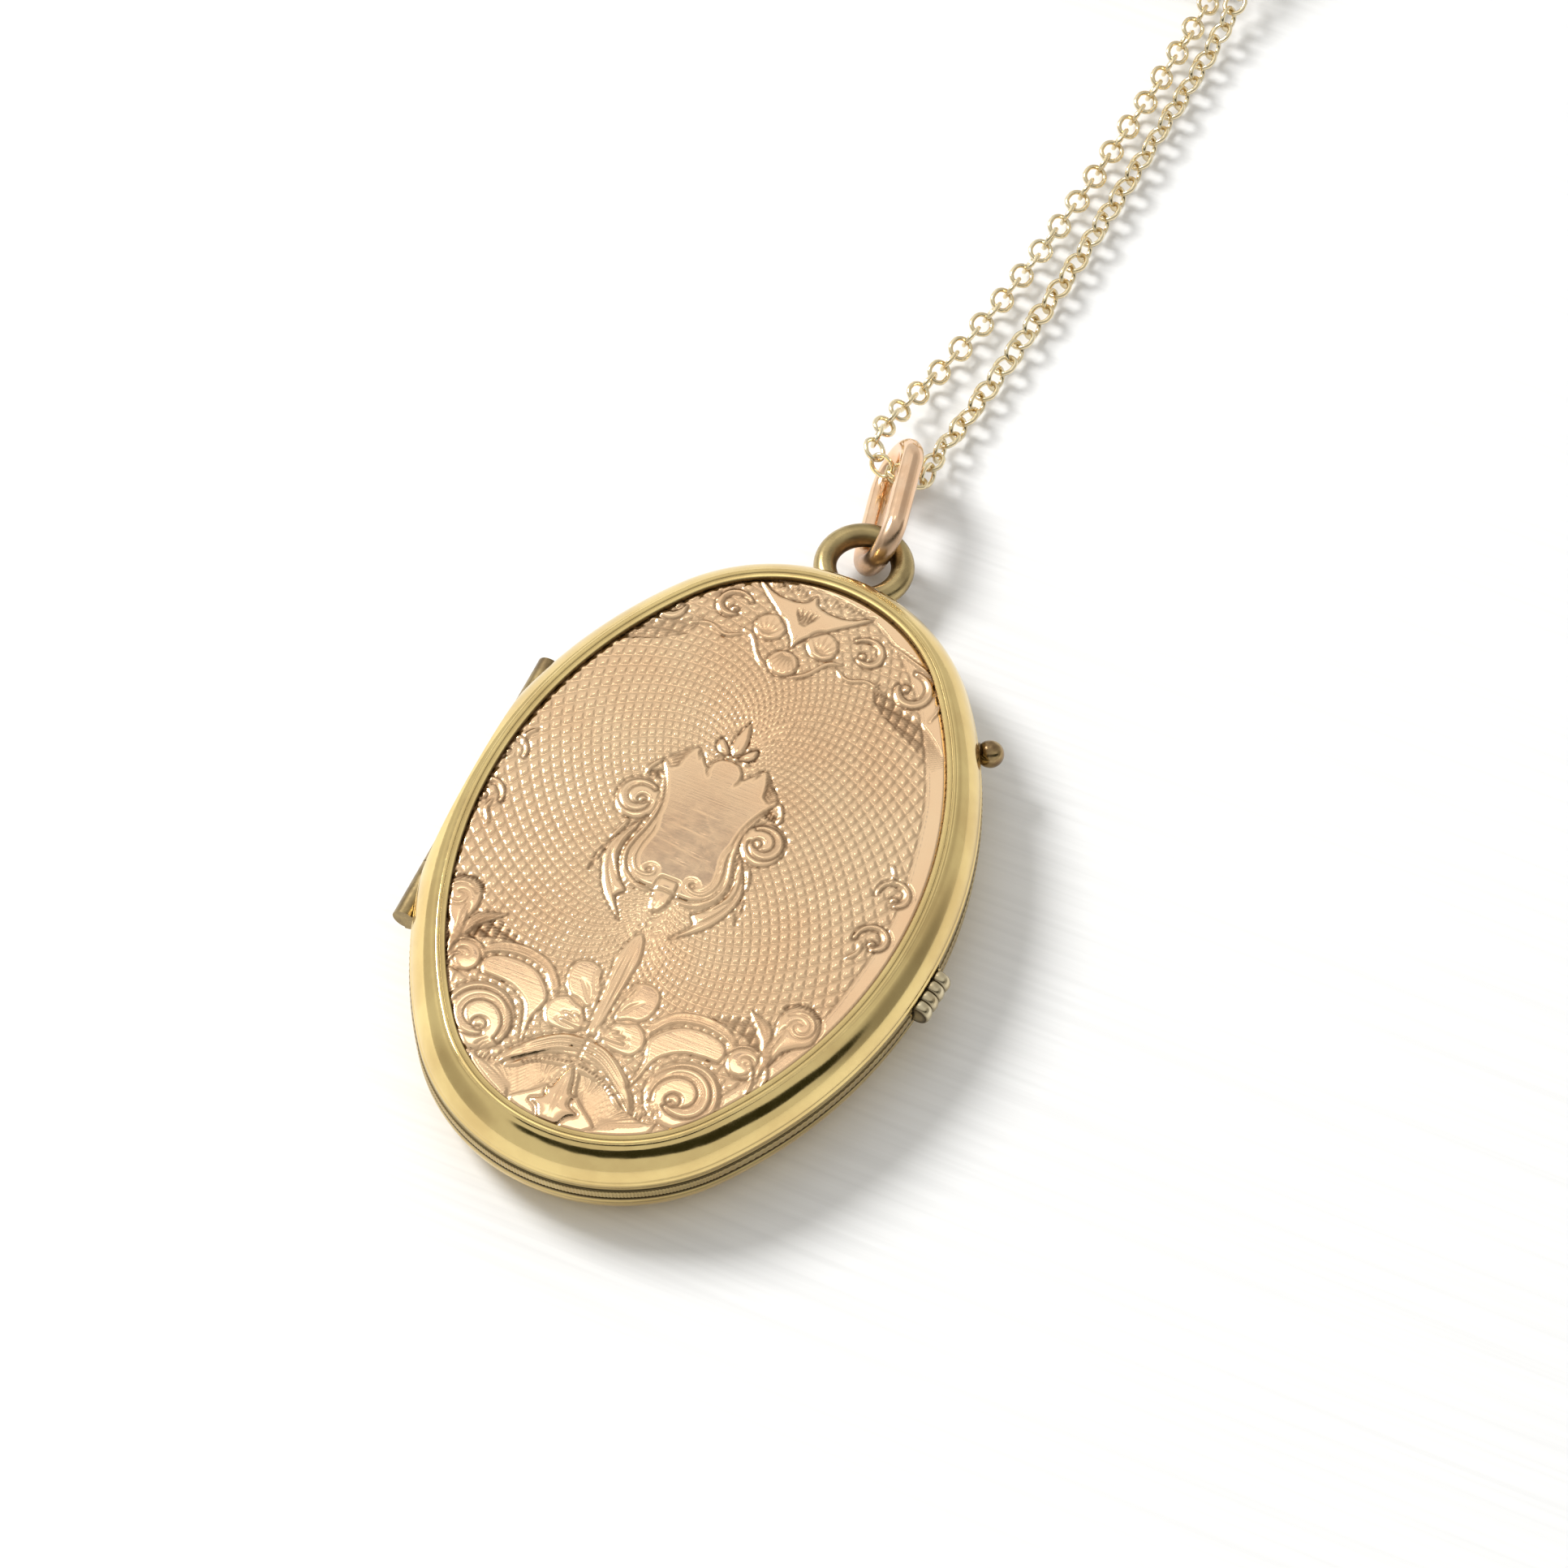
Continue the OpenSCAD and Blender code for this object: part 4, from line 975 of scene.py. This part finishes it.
# ---- rims
def rim_face(height, steps=26):
    """The rim's outer face from the seam to the lip, with its bead and engraved line."""
    run, rise = RIM_FLARE - LIP_W, height - BAND_H
    slant = math.hypot(run, rise)
    rows = []
    for i in range(steps + 1):
        k = i / steps
        swell = 4 * k * (1 - k) * SWELL
        mark = 0.022 * math.exp(-((k - 0.045) / 0.02) ** 2) - 0.03 * math.exp(-((k - 0.11) / 0.018) ** 2)
        mark -= 0.012 * math.exp(-((k - 0.93) / 0.02) ** 2)
        rows.append((RIM_FLARE - run * k + (swell + mark) * rise / slant,
                     BAND_H + rise * k + (swell + mark) * run / slant))
    return rows


def rim_profile(height, recess, shoulder):
    seat = height - recess - PLATE_T
    rows = [(WALL_D, 0), (RIM_FLARE - 0.03, 0), (RIM_FLARE, 0.03), (RIM_FLARE, 0.12),
            (RIM_FLARE - 0.02, 0.16), (RIM_FLARE, 0.2)]
    rows += rim_face(height, 34)[:-1]
    rows += [(LIP_W + 0.02, height - 0.035), (LIP_W - 0.02, height - 0.006), (LIP_W - 0.06, height),
             (0.30, height), (0.275, height - 0.016), (0.25, height), (0.07, height), (0.02, height - 0.012),
             (0, height - 0.04)]
    rows += [(0, seat), (-LEDGE_W, seat), (-LEDGE_W, seat - LEDGE_T), (BEZEL_D, seat - LEDGE_T),
             (BEZEL_D, shoulder), (WALL_D, shoulder)]
    return rows


def rim(name, node, body, height, recess, shoulder, base, up, cuts):
    profile = [(d, base + up * h) for d, h in rim_profile(height, recess, shoulder)]
    points, faces = sweep(profile)
    across = len(profile)
    d_of = np.array([p[0] for p in profile])
    # painted shade along the seam with the leaf, strongest at the rim's foot and fading up past the bead;
    # darker also in the lip's engraved groove and along the lip's inner edge and ledge by the plate
    dirt_and_shade = np.zeros(across)
    dirt_and_shade[[0, 1, 2]] = 0.95
    dirt_and_shade[[3, 4]] = 0.55
    dirt_and_shade[[5, 6, 7]] = 0.3
    dirt_and_shade[(d_of < 0.31) & (d_of > 0.24)] = 0.5
    dirt_and_shade[d_of < 0.03] = 0.7
    dirt_and_shade_level = np.tile(dirt_and_shade, len(points) // across)
    piece = build(name, points, faces, YELLOW, body, dirt_and_shade_level, 28, (node,))
    carve(piece, cuts, 28)


rim("front_cover_rim", "front_rim", "front_cover", FRONT_H, RECESS, SHOULDER_F, SEAM_Z, 1,
    [hinge_cut, flat_cut, thumb_cut, ball_cut])
rim("back_case_rim", "back_rim", "back_case", BACK_H, 0, SHOULDER_B, BACK_H, -1,
    [hinge_cut, flat_cut, ball_cut])


# ---- leaf with a milled edge
def milled(d, z, k, at):
    tooth = 0.03 * np.abs(np.sin(k * math.pi / 2))
    return np.where(d > RIM_FLARE, d - tooth, d), z


half = LEAF_T / 2
leaf_rows = [(0, LEAF_Z - half), (RIM_FLARE - 0.05, LEAF_Z - half), (RIM_FLARE + 0.01, LEAF_Z - half + 0.03),
             (RIM_FLARE + LEAF_PROUD, LEAF_Z - half + 0.1), (RIM_FLARE + LEAF_PROUD, LEAF_Z + half - 0.1),
             (RIM_FLARE + 0.01, LEAF_Z + half - 0.03), (RIM_FLARE - 0.05, LEAF_Z + half), (0, LEAF_Z + half)]
points, faces = sweep(leaf_rows, 180, 220, ripple=milled)
# painted shade on the leaf's upper and lower edges, where it meets the rims
dirt_and_shade_level = np.tile([0, 0.6, 0.95, 0.35, 0.35, 0.95, 0.6, 0], len(points) // 8)
leaf_edge = build("milled_leaf_frame", points, faces, LEAF_GOLD, "leaf", sharp=20,
                  dirt_and_shade=dirt_and_shade_level, nodes=("leaf_frame",))
carve(leaf_edge, [hinge_cut, flat_cut, thumb_cut], 20)


# ---- finger pieces, bow and bail link
def lathed(name, profile, matrix, material, body, node, dirt_and_shade, cuts=()):
    points, faces = lathe(profile, 64)
    dirt_and_shade_level = np.concatenate([np.repeat(dirt_and_shade, 64), [0.3, 0.3]])
    piece = build(name, place(points, matrix), faces, material, body, sharp=40, dirt_and_shade=dirt_and_shade_level,
                  nodes=(node,))
    if cuts:
        carve(piece, cuts, 40)


ribs, profile, dirt_and_shade_level = 4, [], []
for i in range(ribs * 12 + 1):
    t = i / (ribs * 12)
    bulge = abs(math.sin(t * ribs * math.pi)) ** 0.4
    profile.append((THUMB_R - 0.14 + 0.14 * bulge, (t - 0.5) * THUMB_LEN))
    # darker in the grooves between the ribs
    dirt_and_shade_level.append(0.95 * (1 - bulge) ** 1.2)
profile = [(0.28, -THUMB_LEN / 2 - 0.001), *profile, (0.28, THUMB_LEN / 2 + 0.001)]
back_fill = cutter(*sweep([(-2, 0.2), *[(d, BACK_H - h) for d, h in [(RIM_FLARE, 0)] + rim_face(BACK_H, 6)],
                           (-2, 0.0)], 60, 60))
lathed("ribbed_thumb_piece", profile, thumb_matrix(), PALE, "back_case", "thumb_piece",
       cuts=(back_fill,), dirt_and_shade=[0.5, *dirt_and_shade_level, 0.5])

ball_at = 0.58
profile = [(COLLAR_R - 0.04, -0.25), (COLLAR_R, -0.2), (COLLAR_R, 0.07), (COLLAR_R - 0.05, 0.12),
           (COLLAR_R - 0.16, 0.14), (COLLAR_R - 0.17, 0.15)]
start = math.asin((COLLAR_R - 0.17) / BALL_R)
for i in range(30):
    a = start + (math.pi - start - 0.06) * i / 29
    profile.append((BALL_R * math.sin(a), ball_at - BALL_R * math.cos(a)))
# darker at the collar's top and most at the neck under the ball, fading up the ball
dirt_and_shade_level = [0.5, 0.3, 0.2, 0.5, 0.9, 1.0] + [0.6 * math.exp(-i / 3) for i in range(30)]
lathed("ball_pin", profile, ball_matrix(), PIN, "leaf", "leaf_ball_pin", dirt_and_shade=dirt_and_shade_level)


def tube_ring(path, out, normal, radii, sides=36):
    """A closed round tube about a closed path, with its outward directions."""
    s = np.linspace(0, TURN, sides, endpoint=False)
    across = np.cos(s)[None, :, None] * out[:, None] + np.sin(s)[None, :, None] * np.asarray(normal)[None, None]
    ring = path[:, None] + radii[:, None, None] * across
    return ring.reshape(-1, 3), grid_faces(len(path), sides, close_rows=True, close_cols=True)


a = np.linspace(0, TURN, 120, endpoint=False)
radial = np.stack([np.cos(a), np.sin(a), 0 * a], 1)
bow_path = BOW + BOW_R * radial
points, faces = tube_ring(bow_path, radial, (0, 0, 1), WIRE_R + (0.01 * np.sin(3 * a + 1) - 0.012))
inner = ((points - BOW)[:, :2] ** 2).sum(1) ** 0.5
# darker on the ring's inner face and towards its far side, where the link hangs
dirt_and_shade_level = unit((BOW_R - 0.18 - inner) / 0.35) * 0.75 + 0.45 * unit(points[:, 1] - BOW[1] - 1.3)
bow = build("cast_bow", points, faces, BOW_BRASS, "back_case", sharp=60, dirt_and_shade=unit(dirt_and_shade_level),
            nodes=("bow",))
carve(bow, [back_fill], 50)

link_half = (LINK_L - LINK_W) / 2
a = np.linspace(0, TURN, 160, endpoint=False)
radial = np.stack([np.cos(a), np.sin(a), 0 * a], 1)
path = np.stack([radial[:, 1] * LINK_W / 2 + np.where(radial[:, 1] >= 0, 2 * link_half, 0),
                 radial[:, 0] * LINK_W / 2], 1)
# local frame of the link: long axis +Y, width Z
local = np.stack([0 * a, path[:, 0], path[:, 1]], 1)
outward = np.stack([0 * a, radial[:, 1], radial[:, 0]], 1)
points, faces = tube_ring(local, outward, (1, 0, 0), WIRE_R + (0.012 * np.sin(2 * a + 0.4) - 0.014))
link_matrix = (Matrix.Translation((BOW[0], BOW[1] + BOW_R, BOW[2]))
               @ turn("Z", LINK_YAW) @ turn("Y", LINK_LEAN)
               @ Matrix.Translation((0, LINK_W / 2 - LINK_REACH, LINK_LIFT)))
# darker towards the link's end that runs through the bow
dirt_and_shade_level = np.clip(0.35 - 0.5 * (points[:, 1] + 1.0), 0, 0.4)
build("bail_link_wire", place(points, link_matrix), faces, BAIL, "bail_link", sharp=60,
      dirt_and_shade=dirt_and_shade_level, nodes=("bail_link",))


# ---- finishes of the parts that come from the CAD
def finish_node(name, material):
    obj = bpy.data.objects[name]
    if obj.data.materials:
        obj.data.materials[0] = material
    else:
        obj.data.materials.append(material)
    mod = obj.modifiers.new("bevel", "BEVEL")
    mod.width, mod.segments, mod.limit_method, mod.angle_limit = 0.02 * MM, 2, "ANGLE", math.radians(35)


for material, names in (
        (HINGE, "knuckle_back_upper knuckle_back_lower leaf_knuckle knuckle_front_upper knuckle_front_lower"),
        (HINGE, "hinge_pin"),
        (LEAF_GOLD, "back_bezel leaf_bezel_front leaf_bezel_back front_bezel leaf_divider"),
        (CARD, "back_photo leaf_photo_front leaf_photo_back front_photo"),
        (WINDOW, "back_window leaf_window_front leaf_window_back front_window"),
        (CLASP_GOLD, "clasp_ring clasp_eye clasp_end_ring clasp_trigger")):
    for node in names.split():
        finish_node(node, material)

for tool in [o for o in bpy.data.objects if o.name.startswith("cutter")]:
    bpy.data.objects.remove(tool, do_unlink=True)

bpy.context.scene.view_settings.view_transform = "Standard"
